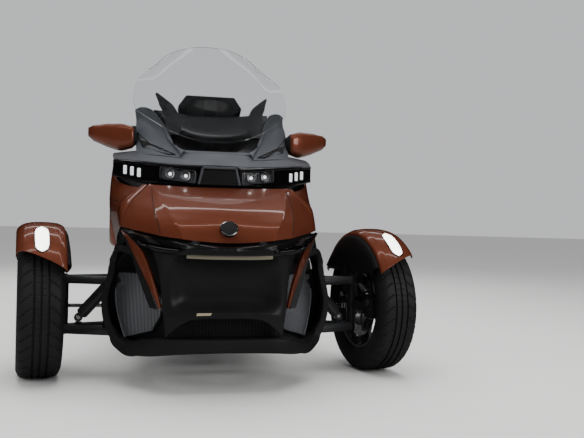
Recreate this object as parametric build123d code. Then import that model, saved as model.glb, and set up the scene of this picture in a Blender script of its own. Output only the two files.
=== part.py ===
"""Three-wheeled touring roadster: two steered wheels in front, one driven wheel behind.

Millimetres, +Z up. The nose points to -Y and the vehicle's left side is +X. Places are
given from the middle of the front axle line, on the ground, and save() moves every
piece back so that the origin is under the middle of the whole vehicle.
"""
from build123d import *
from math import atan2, cos, radians, sin, sqrt
import os

# Driving dimensions of the whole vehicle
nose_y = -540.0
overall_length = 2833.0
wheelbase = 1714.0
track = 1384.0
steer_angle = 9.0
tail_y = nose_y + overall_length
middle_y = (nose_y + tail_y) / 2
half_track = track / 2
rear_axle_y = wheelbase
side_signs = (1, -1)

# Wheels and brakes
front_tyre_radius = 281.0
front_tyre_width = 165.0
front_rim_width = 127.0
rear_tyre_radius = 303.0
rear_tyre_width = 225.0
rear_rim_width = 178.0
rim_radius = 190.0
rim_barrel_wall = 13.0
tread_groove_width = 7.0
tread_groove_depth = 6.0
hub_radius = 42.0
hub_bore_radius = 18.0
spindle_radius = 17.0
spoke_count = 6
spoke_width = 34.0
spoke_depth = 20.0
disc_outer_radius = 135.0
disc_thickness = 6.0
disc_inset = 52.0
caliper_gap = 5.0
fit_gap = 0.3
moving_gap = 6.0

# Front suspension and steering
kingpin_inset = 92.0
kingpin_radius = 20.0
upper_arm_rise = 104.0
lower_arm_drop = 94.0
tie_rod_drop = 13.0
kingpin_x = half_track - kingpin_inset
upper_arm_z = front_tyre_radius + upper_arm_rise
lower_arm_z = front_tyre_radius - lower_arm_drop
tie_rod_z = front_tyre_radius - tie_rod_drop
arm_inner_x = 202.0
arm_spread = 110.0
arm_bar = 26.0
ball_joint_radius = 19.0
steering_arm_length = 95.0
tie_rod_radius = 8.0
rack_radius = 13.0
rack_half_length = 215.0
rack_tube_wall = 12.0
shock_foot_inset = 60.0
shock_foot_rise = 45.0
shock_foot = (kingpin_x - shock_foot_inset, 0.0, lower_arm_z + shock_foot_rise)
shock_head = (318.0, 0.0, 486.0)
shock_spring_radius = 29.0
shock_eye_radius = 17.0

# Lid hinges
hinge_pin_radius = 3.0
hinge_wall = 3.0
hinge_post = 5.0

# Shell thicknesses
panel_wall = 4.0
case_wall = 5.0
screen_wall = 4.5


def vec(point):
    return point if isinstance(point, Vector) else Vector(*point)


def save(name, *solids):
    """Write one node, moved so that the origin is under the middle of the vehicle."""
    moved = [Pos(0, -middle_y, 0) * solid for solid in solids]
    export_step(moved[0] if len(moved) == 1 else Compound(children=moved), f"parts/{name}.step")


def closed(points, faces):
    """Closed solid from its corner points and its flat faces."""
    corners = [vec(point) for point in points]
    sides = [Face(Wire.make_polygon([corners[i] for i in face])) for face in faces]
    return Solid(Shell(sides))


def split_quad(a, b, c, d):
    return [(a, b, c), (a, c, d)]


def panel(grid, wall, inside):
    """Closed sheet over a grid of points, its wall turned towards the point `inside`."""
    rows = [[vec(point) for point in row] for row in grid]
    row_count = len(rows)
    column_count = len(rows[0])
    target = vec(inside)
    points = [point for row in rows for point in row]
    for i in range(row_count):
        for j in range(column_count):
            along_rows = rows[min(i + 1, row_count - 1)][j] - rows[max(i - 1, 0)][j]
            along_columns = rows[i][min(j + 1, column_count - 1)] - rows[i][max(j - 1, 0)]
            normal = along_rows.cross(along_columns).normalized()
            if normal.dot(target - rows[i][j]) < 0:
                normal = -normal
            points.append(rows[i][j] + normal * wall)
    inner = row_count * column_count
    faces = []
    for i in range(row_count - 1):
        for j in range(column_count - 1):
            a = i * column_count + j
            b = a + 1
            c = b + column_count
            d = a + column_count
            faces += split_quad(a, b, c, d)
            faces += split_quad(inner + a, inner + d, inner + c, inner + b)
    border = [j for j in range(column_count)]
    border += [i * column_count + column_count - 1 for i in range(1, row_count)]
    border += [(row_count - 1) * column_count + j for j in range(column_count - 2, -1, -1)]
    border += [i * column_count for i in range(row_count - 2, 0, -1)]
    for a, b in zip(border, border[1:] + border[:1]):
        faces += split_quad(a, inner + a, inner + b, b)
    return closed(points, faces)


def skin(rings):
    """Closed solid through rings of points, each ring with as many points."""
    count = len(rings[0])
    points = [point for ring in rings for point in ring]
    faces = []
    for i in range(len(rings) - 1):
        for j in range(count):
            a = i * count + j
            b = i * count + (j + 1) % count
            faces += split_quad(a, b, b + count, a + count)
    last = (len(rings) - 1) * count
    for j in range(1, count - 1):
        faces.append((0, j + 1, j))
        faces.append((last, last + j, last + j + 1))
    return closed(points, faces)


def mirrored_row(half_row):
    """A row from the middle plane out to the left edge, made whole."""
    right = [(-x, y, z) for x, y, z in half_row[:0:-1]]
    return right + list(half_row)


def whole_panel(half_rows, wall, inside):
    return panel([mirrored_row(row) for row in half_rows], wall, inside)


def both(solid):
    """The left piece and its mirror image on the right."""
    return [solid, mirror(solid, about=Plane.YZ)]


def rod(start, end, radius):
    start, end = vec(start), vec(end)
    return Solid.make_cylinder(radius, (end - start).length, Plane(origin=start, z_dir=end - start))


def beam(start, end, width, height):
    """Rectangular bar between two points; `width` lies level, `height` across it."""
    start, end = vec(start), vec(end)
    along = (end - start).normalized()
    level = along.cross(Vector(0, 0, 1))
    if abs(along.Z) > 0.8:
        level = Vector(1, 0, 0) - along * along.X
    plane = Plane(origin=start, x_dir=level.normalized(), z_dir=along)
    bar = Pos(0, 0, (end - start).length / 2) * Box(width, height, (end - start).length)
    return plane.location * bar


def bent_tube(path, radius, sides=12):
    """Tube with mitred corners along a path of points."""
    places = [vec(point) for point in path]
    runs = [(b - a).normalized() for a, b in zip(places, places[1:])]
    rings = []
    for i, place in enumerate(places):
        incoming = runs[max(i - 1, 0)]
        bisector = (incoming + runs[min(i, len(runs) - 1)]).normalized()
        level = incoming.cross(Vector(0, 0, 1)).normalized()
        rise = level.cross(incoming)
        ring = []
        for k in range(sides):
            turn = radians(360 * k / sides)
            offset = level * (radius * cos(turn)) + rise * (radius * sin(turn))
            ring.append(place + offset - incoming * (offset.dot(bisector) / incoming.dot(bisector)))
        rings.append([(point.X, point.Y, point.Z) for point in ring])
    return skin(rings)


def box_between(corner, opposite):
    """Box between two opposite corners, given in any order."""
    size = [abs(b - a) for a, b in zip(corner, opposite)]
    middle = [(a + b) / 2 for a, b in zip(corner, opposite)]
    return Pos(*middle) * Box(*size)


def prism_yz(outline, x_low, x_high):
    """Plate with a (y, z) outline, between two x planes."""
    return skin([[(x_low, y, z) for y, z in outline], [(x_high, y, z) for y, z in outline]])


def fused(solids):
    result = solids[0]
    for solid in solids[1:]:
        result = result + solid
    return result


def ring_about_x(profile, x, y, z):
    """Solid of revolution about a line along X; profile points are (x offset, radius)."""
    face = Face(Wire.make_polygon([Vector(offset, radius, 0) for offset, radius in profile]))
    return Pos(x, y, z) * revolve(face, Axis.X)


def steered(solid, side):
    """Turn a piece that hangs on a kingpin to the angle the wheels are parked at."""
    return solid.rotate(Axis((side * kingpin_x, 0, 0), (0, 0, 1)), steer_angle)


def tyre(radius, width, place):
    half = width / 2
    shoulder = half - 28
    profile = [(-half + 20, rim_radius), (-half + 3, rim_radius + 26),
               (-half, (radius + rim_radius) / 2 + 8)]
    profile += [(-half + 9, radius - 13), (-shoulder, radius - 2)]
    pitch = 2 * shoulder / 4
    for k in range(4):
        middle = -shoulder + (k + 0.5) * pitch
        profile += [(middle - tread_groove_width / 2, radius)]
        profile += [(middle - tread_groove_width / 2, radius - tread_groove_depth)]
        profile += [(middle + tread_groove_width / 2, radius - tread_groove_depth)]
        profile += [(middle + tread_groove_width / 2, radius)]
    profile += [(shoulder, radius - 2), (half - 9, radius - 13)]
    profile += [(half, (radius + rim_radius) / 2 + 8), (half - 3, rim_radius + 26), (half - 20, rim_radius)]
    return ring_about_x(profile, *place)


def rim(width, place, disc_side, pulley=None):
    """Barrel, hub, spokes and brake disc as one piece; the disc is on `disc_side`."""
    half = width / 2
    outer = rim_radius - fit_gap
    barrel = [(-half, outer - rim_barrel_wall), (-half, outer), (half, outer),
              (half, outer - rim_barrel_wall)]
    parts = [ring_about_x(barrel, 0, 0, 0)]
    disc_x = disc_side * disc_inset
    face_x = -disc_side * (half - 38)
    low_x = min(disc_x - disc_thickness / 2, face_x - spoke_depth / 2)
    high_x = max(disc_x + disc_thickness / 2, face_x + spoke_depth / 2)
    hub = [(low_x, hub_bore_radius), (low_x, hub_radius), (high_x, hub_radius), (high_x, hub_bore_radius)]
    parts.append(ring_about_x(hub, 0, 0, 0))
    disc_low = disc_x - disc_thickness / 2
    disc_high = disc_x + disc_thickness / 2
    disc = [(disc_low, hub_radius - 2), (disc_low, disc_outer_radius)]
    disc += [(disc_high, disc_outer_radius), (disc_high, hub_radius - 2)]
    parts.append(ring_about_x(disc, 0, 0, 0))
    if pulley:
        pulley_low, pulley_high, pulley_radius = pulley
        wheel = [(high_x - 1, hub_bore_radius), (high_x - 1, hub_radius)]
        wheel += [(pulley_low, hub_radius), (pulley_low, pulley_radius)]
        wheel += [(pulley_high, pulley_radius), (pulley_high, hub_bore_radius)]
        parts.append(ring_about_x(wheel, 0, 0, 0))
    for k in range(spoke_count):
        spoke = box_between((face_x - spoke_depth / 2, -spoke_width / 2, hub_radius - 6),
                            (face_x + spoke_depth / 2, spoke_width / 2, outer - rim_barrel_wall + 3))
        parts.append(spoke.rotate(Axis.X, k * 360 / spoke_count))
    return Pos(*place) * fused(parts)


def hinge(start, end, post_offset, tab_offset):
    """Fixed pin on two posts, and the moving eye with its tab; offsets are counted from the pin."""
    start, end = vec(start), vec(end)
    along = (end - start).normalized()
    middle = (start + end) / 2
    fixed = [rod(start - along * hinge_post, end + along * hinge_post, hinge_pin_radius)]
    for place in (start - along * hinge_post / 2, end + along * hinge_post / 2):
        fixed.append(beam(place, place + vec(post_offset), hinge_post, 2 * hinge_pin_radius))
    eye_start = start + along * fit_gap
    eye_end = end - along * fit_gap
    outer_radius = hinge_pin_radius + hinge_wall
    eye = rod(eye_start, eye_end, outer_radius) - rod(eye_start, eye_end, hinge_pin_radius + fit_gap)
    tab_start = middle + vec(tab_offset).normalized() * (outer_radius - 1)
    tab = beam(tab_start, middle + vec(tab_offset), (eye_end - eye_start).length, hinge_wall)
    return fused(fixed), fused([eye, tab])


# Rolling parts
def make_front_wheel(side):
    place = (side * half_track, 0, front_tyre_radius)
    name = "left" if side > 0 else "right"
    save(f"front_{name}_tyre", steered(tyre(front_tyre_radius, front_tyre_width, place), side))
    save(f"front_{name}_rim", steered(rim(front_rim_width, place, -side), side))


pulley_gap = 7.5
pulley_width = 26.0
pulley_low_x = rear_tyre_width / 2 + pulley_gap
pulley_high_x = pulley_low_x + pulley_width
pulley_radius = 105.0


def make_rear_wheel():
    place = (0, rear_axle_y, rear_tyre_radius)
    save("rear_tyre", tyre(rear_tyre_radius, rear_tyre_width, place))
    rear = rim(rear_rim_width, place, -1, (pulley_low_x, pulley_high_x, pulley_radius))
    save("rear_rim", rear)


# Knuckles, fenders and their lamps turn with the wheels
fender_gap = 21.0
fender_crown_height = 28.0
fender_overhang = 7.5
fender_lip_radius = front_tyre_radius + fender_gap
fender_crown_radius = fender_lip_radius + fender_crown_height
fender_half_width = front_tyre_width / 2 + fender_overhang
fender_front_angle = 26.0
fender_rear_angle = 152.0
fender_steps = 9
guard_reach = 40.0
guard_inner_x = kingpin_x - guard_reach
stay_thickness = 10.0
stay_x = front_tyre_width / 2 + moving_gap
stay_near_y = 52.0
stay_far_y = 84.0
stay_head_gap = 2.2


def make_knuckle(side):
    inboard = side * kingpin_x
    axle_z = front_tyre_radius
    parts = [rod((inboard, 0, lower_arm_z + ball_joint_radius + fit_gap),
                 (inboard, 0, upper_arm_z - ball_joint_radius - fit_gap), kingpin_radius)]
    parts.append(rod((inboard, 0, axle_z), (side * (half_track + 10), 0, axle_z), spindle_radius))
    arm_end = (inboard, steering_arm_length, tie_rod_z + 24)
    parts.append(beam((inboard, 0, tie_rod_z + 24), arm_end, 22, 18))
    parts.append(rod(arm_end, (arm_end[0], arm_end[1], arm_end[2] + 14), 15))
    # Caliper: a bridge over the disc in front of the axle
    disc_x = side * (half_track - disc_inset)
    half_slot = disc_thickness / 2 + caliper_gap
    caliper = box_between((disc_x - half_slot - 14, -156, axle_z - 42),
                          (disc_x + half_slot + 14, -88, axle_z + 42))
    slot = box_between((disc_x - half_slot, -disc_outer_radius - caliper_gap, axle_z - 60),
                       (disc_x + half_slot, -60, axle_z + 60))
    parts.append(caliper - slot)
    carrier_x = disc_x - side * (half_slot + 8)
    parts.append(beam((carrier_x, -95, axle_z), (inboard, 0, axle_z), 24, 30))
    # Stay that rises inside the tyre and carries the fender
    foot_z = upper_arm_z - ball_joint_radius - moving_gap
    inner_face = side * (half_track - stay_x)
    stay_head_z = axle_z + sqrt((fender_lip_radius - panel_wall) ** 2 - stay_far_y ** 2) - stay_head_gap
    back_face = inner_face - side * stay_thickness
    parts.append(box_between((inner_face, stay_near_y, foot_z - 40), (back_face, stay_far_y, stay_head_z)))
    parts.append(box_between((inner_face, -24, foot_z - 40), (back_face, stay_far_y, foot_z)))
    name = "left" if side > 0 else "right"
    save(f"knuckle_{name}", steered(fused(parts), side))


# Fender section from the inner lip to the outer lip: share of half width, share of crown height
fender_section = [(-1.0, 0.0), (-0.93, 0.5), (-0.72, 0.84), (-0.35, 0.98), (0.0, 1.0),
                  (0.35, 0.98), (0.72, 0.84), (0.93, 0.5), (1.0, 0.0)]


def fender_point(side, share, height, angle):
    radius = fender_lip_radius + (fender_crown_radius - fender_lip_radius) * height
    x = side * (half_track + share * fender_half_width)
    return (x, -radius * cos(radians(angle)), front_tyre_radius + radius * sin(radians(angle)))


def make_fender(side):
    rows = []
    for step in range(fender_steps + 1):
        row = []
        for share, height in fender_section:
            start = fender_front_angle + 7 * (share + 1)
            angle = start + (fender_rear_angle - start) * step / fender_steps
            row.append(fender_point(side, share, height, angle))
        rows.append(row)
    hub = (side * half_track, 0, front_tyre_radius)
    shell = panel(rows, panel_wall, hub)
    # Black inner guard between the fender's inner lip and the body
    guard_rows = []
    for step in range(fender_steps):
        angle = 42 + (fender_rear_angle - 48) * step / (fender_steps - 1)
        lip_x = half_track - fender_half_width - 1
        radius = fender_lip_radius
        row = []
        for x, drop in ((lip_x, -2), (lip_x - 14, 4), (guard_inner_x, 24)):
            reach = radius - drop
            row.append((side * x, -reach * cos(radians(angle)),
                        front_tyre_radius + reach * sin(radians(angle))))
        guard_rows.append(row)
    guard = panel(guard_rows, panel_wall, hub)
    name = "left" if side > 0 else "right"
    save(f"fender_{name}", steered(fused([shell, guard]), side))


lamp_low_angle = 40.0
lamp_high_angle = 63.0
lamp_half_width = 30.0
lamp_stand = 5.0


def make_fender_lamp(side):
    rows = []
    for step in range(4):
        angle = lamp_low_angle + (lamp_high_angle - lamp_low_angle) * step / 3
        row = []
        for share in (-1, -0.4, 0.4, 1):
            reach = fender_crown_radius + lamp_stand + 1.5 * (1 - share * share)
            x = half_track + share * lamp_half_width
            row.append((side * x, -reach * cos(radians(angle)),
                        front_tyre_radius + reach * sin(radians(angle))))
        rows.append(row)
    hub = (side * half_track, 0, front_tyre_radius)
    name = "left" if side > 0 else "right"
    save(f"fender_lamp_{name}", steered(panel(rows, lamp_stand, hub), side))


# Suspension, rack and shocks
def make_suspension():
    solids = []
    for side in side_signs:
        for z in (upper_arm_z, lower_arm_z):
            outer = (side * (kingpin_x - 2), 0, z)
            legs = [beam((side * arm_inner_x, y, z), (side * (kingpin_x - 8), y * 0.12, z), arm_bar,
                         arm_bar)
                    for y in (-arm_spread, arm_spread)]
            cross = beam((side * 330, -arm_spread * 0.66, z), (side * 330, arm_spread * 0.66, z), arm_bar,
                         20)
            ball = Pos(*outer) * Sphere(ball_joint_radius)
            if z == lower_arm_z:
                foot_x = side * shock_foot[0]
                foot_top = shock_foot[2] - shock_eye_radius - fit_gap
                foot = box_between((foot_x - 14, -15, z), (foot_x + 14, 15, foot_top))
                solids.append(fused(legs + [ball, cross, foot]))
            else:
                solids.append(fused(legs + [ball]))
    save("suspension_arms", *solids)


def make_shocks():
    solids = []
    for side in side_signs:
        foot = Vector(side * shock_foot[0], shock_foot[1], shock_foot[2])
        head = Vector(side * shock_head[0], shock_head[1], shock_head[2])
        along = (head - foot).normalized()
        reach = (head - foot).length
        body = [rod(foot, head, 12)]
        for k in range(9):
            start = foot + along * (34 + k * (reach - 95) / 9)
            body.append(rod(start, start + along * 14, shock_spring_radius))
        for eye in (foot, head):
            body.append(rod(eye - Vector(0, 13, 0), eye + Vector(0, 13, 0), shock_eye_radius))
        solids.append(fused(body))
    save("front_shocks", *solids)


def rack_shift():
    return -steering_arm_length * sin(radians(steer_angle))


def make_rack():
    """Rack bar with both tie rods, which slides across the vehicle."""
    y = steering_arm_length * cos(radians(steer_angle))
    shift = rack_shift()
    parts = [rod((-rack_half_length - 60 + shift, y, tie_rod_z),
                 (rack_half_length + 60 + shift, y, tie_rod_z),
                 rack_radius)]
    parts.append(rod((-kingpin_x + shift, y, tie_rod_z), (kingpin_x + shift, y, tie_rod_z), tie_rod_radius))
    for side in side_signs:
        parts.append(rod((side * kingpin_x + shift, y, tie_rod_z - 12),
                         (side * kingpin_x + shift, y, tie_rod_z + 9),
                         14))
    save("steering_rack", fused(parts))


# Handlebar column, raked back
column_foot = (0.0, 560.0, 905.0)
column_rake = 24.0


def column_place(up):
    """Point on the steering column's middle line, so far above its foot."""
    x, y, z = column_foot
    return (x, y + up * sin(radians(column_rake)), z + up * cos(radians(column_rake)))


swing_leg_gap = 76.0
swing_leg_x = pulley_high_x + swing_leg_gap
swing_pivot = (1190.0, 318.0)
swing_pivot_radius = 20.0

# Upper rear rails, which rise over the rear tyre
rail_front = (1140.0, 622.0)
rail_rear_y = 2060.0
rail_over_tyre = 84.0
rail_height = 40.0
rail_gap = 0.4
rail_rear_z = 2 * rear_tyre_radius + rail_over_tyre


def rail_z(y):
    """Height of the upper rear rails' middle line at y."""
    share = (y - rail_front[0]) / (rail_rear_y - rail_front[0])
    return rail_front[1] + share * (rail_rear_z - rail_front[1])


def over_rail_z(y):
    """Height at which a piece sits on the upper rear rails at y."""
    return rail_z(y) + rail_height / 2 + rail_gap


# Frame: bars (start x y z, end x y z, width, height), each made on both sides
frame_bars = [
    ((180, -235, 200), (180, 300, 190), 34, 44),
    ((180, 295, 190), (185, 1190, 300), 34, 50),
    ((180, -200, 420), (180, 330, 560), 34, 40),
    ((180, 325, 558), (150, 1150, 620), 34, 40),
    ((180, -200, 190), (180, -200, 430), 34, 34),
    ((180, 210, 190), (180, 330, 560), 34, 34),
    ((185, 1180, 270), (150, 1150, 640), 34, 70),
    ((150, *rail_front), (150, rail_rear_y, rail_rear_z), 30, rail_height),
    ((185, 1190, 330), (150, 1700, rail_z(1700) - 13), 26, 30),
    ((180, 400, 560), (60, 520, 830), 30, 30),
]
frame_crosses = [
    ((0, -200, 200), (185, -200, 200), 34, 44),
    ((0, 290, 195), (185, 290, 195), 34, 44),
    ((0, -200, 425), (185, -200, 425), 34, 40),
    ((0, 330, 560), (185, 330, 560), 34, 40),
    ((0, 1150, 620), (155, 1150, 620), 34, 40),
    ((0, 2030, rail_z(2030)), (155, 2030, rail_z(2030)), 30, 36),
    ((0, 520, 825), (75, 520, 825), 34, 34),
]


def make_frame():
    parts = []
    for start, end, width, height in frame_bars + frame_crosses:
        bar = beam(start, end, width, height)
        parts += both(bar)
    for side in side_signs:
        for z in (upper_arm_z, lower_arm_z):
            for y in (-arm_spread, arm_spread):
                parts.append(box_between((side * 175, y - 22, z - 24),
                                         (side * (arm_inner_x - 3.3), y + 22, z + 24)))
        for y in (-arm_spread, arm_spread):
            parts.append(beam((side * 180, y, lower_arm_z), (side * 180, y, upper_arm_z + 110), 30, 30))
        parts.append(beam((side * 180, -arm_spread - 15, 488), (side * 180, arm_spread + 15, 488), 30, 30))
        for y in (-1, 1):
            parts.append(box_between((side * 175, y * 13.3, 470), (side * 335, y * 27, 512)))
    # Steering column tube
    parts.append(rod(column_place(-92), column_place(0), 30))
    # Rack housing between the lower rails
    y = steering_arm_length * cos(radians(steer_angle))
    housing = rod((-rack_half_length, y, tie_rod_z), (rack_half_length, y, tie_rod_z),
                  rack_radius + rack_tube_wall)
    saddle = box_between((-196, y - 14, 195), (196, y + 14, tie_rod_z))
    body = fused(parts + [housing, saddle])
    bore = rod((-rack_half_length - 60, y, tie_rod_z), (rack_half_length + 60, y, tie_rod_z),
               rack_radius + fit_gap)
    pivot = rod((-300, *swing_pivot), (300, *swing_pivot), swing_pivot_radius + fit_gap)
    save("frame", body - bore - pivot)


engine_low = (-112.0, 430.0, 150.0)
engine_high = (112.0, 1122.0, 580.0)


def make_engine():
    save("engine_block", box_between(engine_low, engine_high))


# Front body, each row from the middle plane out to the left edge
hood_rows = [
    [(0, -490, 552), (80, -496, 556), (160, -498, 564), (270, -425, 578), (373, -248, 601)],
    [(0, -484, 597), (85, -480, 600), (176, -470, 604), (285, -398, 612), (370, -230, 632)],
    [(0, -430, 650), (95, -420, 652), (202, -398, 652), (296, -330, 660), (350, -196, 680)],
    [(0, -300, 712), (110, -296, 712), (238, -284, 706), (292, -236, 712), (315, -165, 728)],
    [(0, -134, 762), (95, -136, 762), (205, -150, 761), (255, -146, 764), (274, -134, 770)],
]
hood_hinge = (-502.0, 552.0)
hood_hinge_x = 120.0


def hood_hinges():
    """Two hinges in the gap between the hood's lip and the nose band."""
    pairs = [hinge((side * (hood_hinge_x - 10), *hood_hinge), (side * (hood_hinge_x + 10), *hood_hinge),
                   (0, -11, -5), (0, 6.5, 8)) for side in side_signs]
    return [pair[0] for pair in pairs], [pair[1] for pair in pairs]


def make_hood():
    shell = whole_panel(hood_rows, panel_wall, (0, 0, 420))
    badge_start = Vector(0, -476, 601)
    badge_out = Vector(0, -0.62, 0.78)
    badge = rod(badge_start - badge_out * 3, badge_start + badge_out * 7, 24)
    save("hood", fused([shell, badge] + hood_hinges()[1]))


band_rows = [
    [(0, -506, 541), (80, -512, 546), (160, -515, 553), (274, -440, 567), (378, -262, 590)],
    [(0, -540, 528), (80, -540, 530), (156, -536, 534), (262, -448, 546), (352, -308, 572)],
    [(0, -536, 508), (80, -536, 508), (153, -528, 511), (240, -448, 516), (305, -362, 528)],
]


def make_nose_band():
    save("nose_band", fused([whole_panel(band_rows, 12, (0, 0, 480))] + hood_hinges()[0]))


centre_rows = [
    [(0, -526, 506.2), (80, -524, 506.2), (150, -514, 508), (205, -462, 510), (262, -392, 516)],
    [(0, -440, 470), (80, -440, 470), (150, -442, 472), (206, -440, 474), (246, -398, 470)],
    [(0, -400, 400), (80, -402, 400), (150, -408, 400), (205, -428, 400), (232, -412, 398)],
    [(0, -408, 340), (80, -408, 340), (150, -412, 338), (205, -430, 330), (226, -420, 322)],
    [(0, -452, 304), (80, -452, 304), (140, -450, 302), (200, -438, 286), (218, -428, 268)],
    [(0, -456, 282), (80, -456, 282), (128, -452, 276), (180, -440, 244), (212, -430, 214)],
]


def make_centre_panel():
    save("centre_panel", whole_panel(centre_rows, panel_wall, (0, 0, 350)))


blade_points = [(334, -306, 512), (236, -414, 314), (232, -424, 316), (292, -376, 519),
                (378.6, -253.2, 589)]


def make_cheek_blades():
    """Painted blades that drop from the band's ends between grille and centre panel."""
    outer = [vec(point) for point in blade_points]
    back = Vector(-6, 16, 0)
    blade = skin([outer, [point + back for point in outer]])
    save("cheek_blades", *both(blade))


# Outer cheek frame: z, front edge x y, rear edge x y
cheek_stations = [
    (506, 386, -196, 402, -118), (420, 404, -206, 424, -92), (316, 424, -200, 446, -100),
    (200, 398, -216, 412, -100), (130, 350, -232, 362, -112),
]
# Bottom lip: x, front y, bottom z, top z, depth
lip_stations = [
    (0, -440, 155, 205, 70), (120, -440, 153, 206, 70), (205, -434, 150, 212, 70),
    (285, -345, 140, 186, 80), (352, -236, 130, 164, 90),
]


def make_lower_fascia():
    rings = []
    for z, front_x, front_y, rear_x, rear_y in cheek_stations:
        rings.append([(front_x, front_y, z), (rear_x, rear_y, z), (rear_x - 26, rear_y, z),
                      (front_x - 24, front_y + 12, z)])
    cheek = skin(rings)
    lip_rings = []
    for x, y, low, high, depth in lip_stations:
        lip_rings.append([(x, y, low), (x, y - 6, (low + high) / 2), (x, y + 8, high),
                          (x, y + depth, high - 6),
                          (x, y + depth, low + 4)])
    lip = skin([[(-x, y, z) for x, y, z in ring] for ring in lip_rings[:0:-1]] + lip_rings)
    top = beam((392, -160, 500), (357.1, -245.1, 572.1), 20, 60)
    stay = beam((150, -374, 186), (150, -217.9, 196), 24, 18)
    save("lower_fascia", fused(both(cheek) + [lip] + both(top) + both(stay)))


grille_outline = [(396.4, -96, 424), (272, -150, 424), (212, -290, 322), (222, -300, 268), (252, -240, 210),
                  (360.5, -128, 170), (400, -104, 316)]


def make_grilles():
    outer = [vec(point) for point in grille_outline]
    back = Vector(-2, 8, 0)
    plate = skin([outer, [point + back for point in outer]])
    save("radiator_grilles", *both(plate))


# Luggage tub under the hood: side outline (y, z)
trunk_half_width = 150.0
trunk_outline = [(-388, 452), (-168, 452), (-158, 700), (-300, 660), (-392, 596)]


def make_front_trunk():
    outer = prism_yz(trunk_outline, -trunk_half_width, trunk_half_width)
    middle_z = sum(z for _, z in trunk_outline[:2]) / 2
    inner_outline = [(-388 + case_wall, middle_z + case_wall), (-168 - case_wall, middle_z + case_wall),
                     (-158 - case_wall, 760), (-392 + case_wall, 760)]
    inner = prism_yz(inner_outline, -trunk_half_width + case_wall, trunk_half_width - case_wall)
    feet = [box_between((side * (trunk_half_width - 1), -210, 445.3), (side * 166, -190, 460))
            for side in side_signs]
    save("front_trunk", fused([outer - inner] + feet))


# Lamp panel: x, front y, bottom z, top z, depth
lamp_stations = [
    (0, -124, 770, 850, 90), (84, -124, 770, 846, 90), (180, -84, 770, 850, 100), (290, -30, 776, 862, 110),
    (422, 66, 808, 876, 60),
]


def make_lamp_panel():
    rings = []
    for x, y, low, high, depth in lamp_stations:
        rings.append([(x, y, low), (x, y - 2, (low + high) / 2), (x, y, high), (x, y + depth, high),
                      (x, y + depth, low)])
    bar = skin([[(-x, y, z) for x, y, z in ring] for ring in rings[:0:-1]] + rings)
    save("lamp_panel", bar)


lens_points = [(112, -112, 780), (112, -112, 836), (282, -36, 850), (282, -36, 786)]


def make_headlamps():
    outer = [vec(point) for point in lens_points]
    front = Vector(2, -9, 0)
    lens = skin([[point + front * 0.45 for point in outer], [point + front for point in outer]])
    save("headlamp_lenses", *both(lens))


fairing_rows = [
    [(0, -110, 853.6), (90, -112, 851.6), (190, -72, 855.6), (292, -20, 866.6), (420, 72, 880.6)],
    [(0, -66, 882), (95, -62, 874), (190, -16, 882), (300, 54, 896), (426, 132, 898)],
    [(0, -18, 908), (110, -14, 908), (188, 28, 922), (300, 112, 924), (424, 192, 914)],
]
wing_rows = [
    [(186, 26, 910), (230, 62, 914), (276, 94, 914), (322, 124, 908)],
    [(192, 60, 985), (234, 110, 1000), (280, 150, 1015), (328, 196, 1020)],
    [(226, 176, 1062), (262, 206, 1078), (300, 240, 1086), (334, 282, 1080)],
    [(264, 262, 1118), (290, 280, 1130), (316, 296, 1132), (340, 318, 1122)],
]


def make_upper_fairing():
    front = whole_panel(fairing_rows, panel_wall, (0, 200, 600))
    wing = panel(wing_rows, panel_wall, (0, 400, 800))
    save("upper_fairing", fused([front] + both(wing)))


bowl_rows = [
    [(0, -8, 916), (70, -8, 916), (128, -6, 918), (162, 16, 934)],
    [(0, 90, 948), (90, 88, 952), (160, 84, 966), (217, 105, 1001)],
    [(0, 230, 1020), (100, 226, 1026), (180, 216, 1048), (250, 220, 1086)],
    [(0, 322, 1110), (90, 320, 1112), (180, 300, 1120), (258, 282, 1122)],
]


def make_dash_bowl():
    save("dash_bowl", whole_panel(bowl_rows, panel_wall, (0, 500, 700)))


binnacle_front_y = 325.5
binnacle_depth = 70.0
binnacle_outline = [(-116, 1108), (-122, 1160), (-92, 1207), (92, 1207), (122, 1160), (116, 1108),
                    (70, 1080), (-70, 1080)]


def make_binnacle():
    rings = [[(x, binnacle_front_y + shift, z - 0.25 * shift) for x, z in binnacle_outline]
             for shift in (0, binnacle_depth)]
    save("instrument_binnacle", skin(rings))


screen_rows = [
    [(0, 22, 962), (100, 26, 972), (186, 58, 1004), (264, 136, 1056), (338, 240, 1112)],
    [(0, 115, 1080), (110, 124, 1085), (205, 158, 1105), (290, 225, 1140), (348, 300, 1185)],
    [(0, 205, 1215), (110, 214, 1216), (210, 240, 1222), (290, 300, 1235), (335, 352, 1260)],
    [(0, 320, 1345), (105, 328, 1343), (200, 358, 1338), (262, 400, 1330), (292, 432, 1325)],
    [(0, 450, 1460), (95, 455, 1452), (170, 475, 1430), (215, 498, 1405), (240, 515, 1375)],
]


def make_windshield():
    save("windshield", whole_panel(screen_rows, screen_wall, (0, 600, 1000)))


# Arms that carry the screen, from the bowl's rim up its back: place x y z, width
screen_arm_stations = [(178, 66, 990, 26), (209, 138, 1062, 28), (238, 206, 1138, 24), (250, 248, 1192, 12)]


def make_screen_arms():
    rings = []
    for x, y, z, width in screen_arm_stations:
        half = width / 2
        rings.append([(x - half, y, z), (x + half, y + 10, z), (x + half, y + 22, z - 4),
                      (x - half, y + 12, z - 4)])
    save("windshield_arms", *both(skin(rings)))


# Mirror pod sections: x, y, z, half depth, half height
pod_stations = [
    (327.4, 170, 982, 30, 28), (348, 176, 982, 52, 44), (400, 204, 986, 62, 55), (460, 238, 990, 62, 56),
    (515, 268, 990, 48, 46), (537, 280, 988, 24, 26),
]


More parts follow.
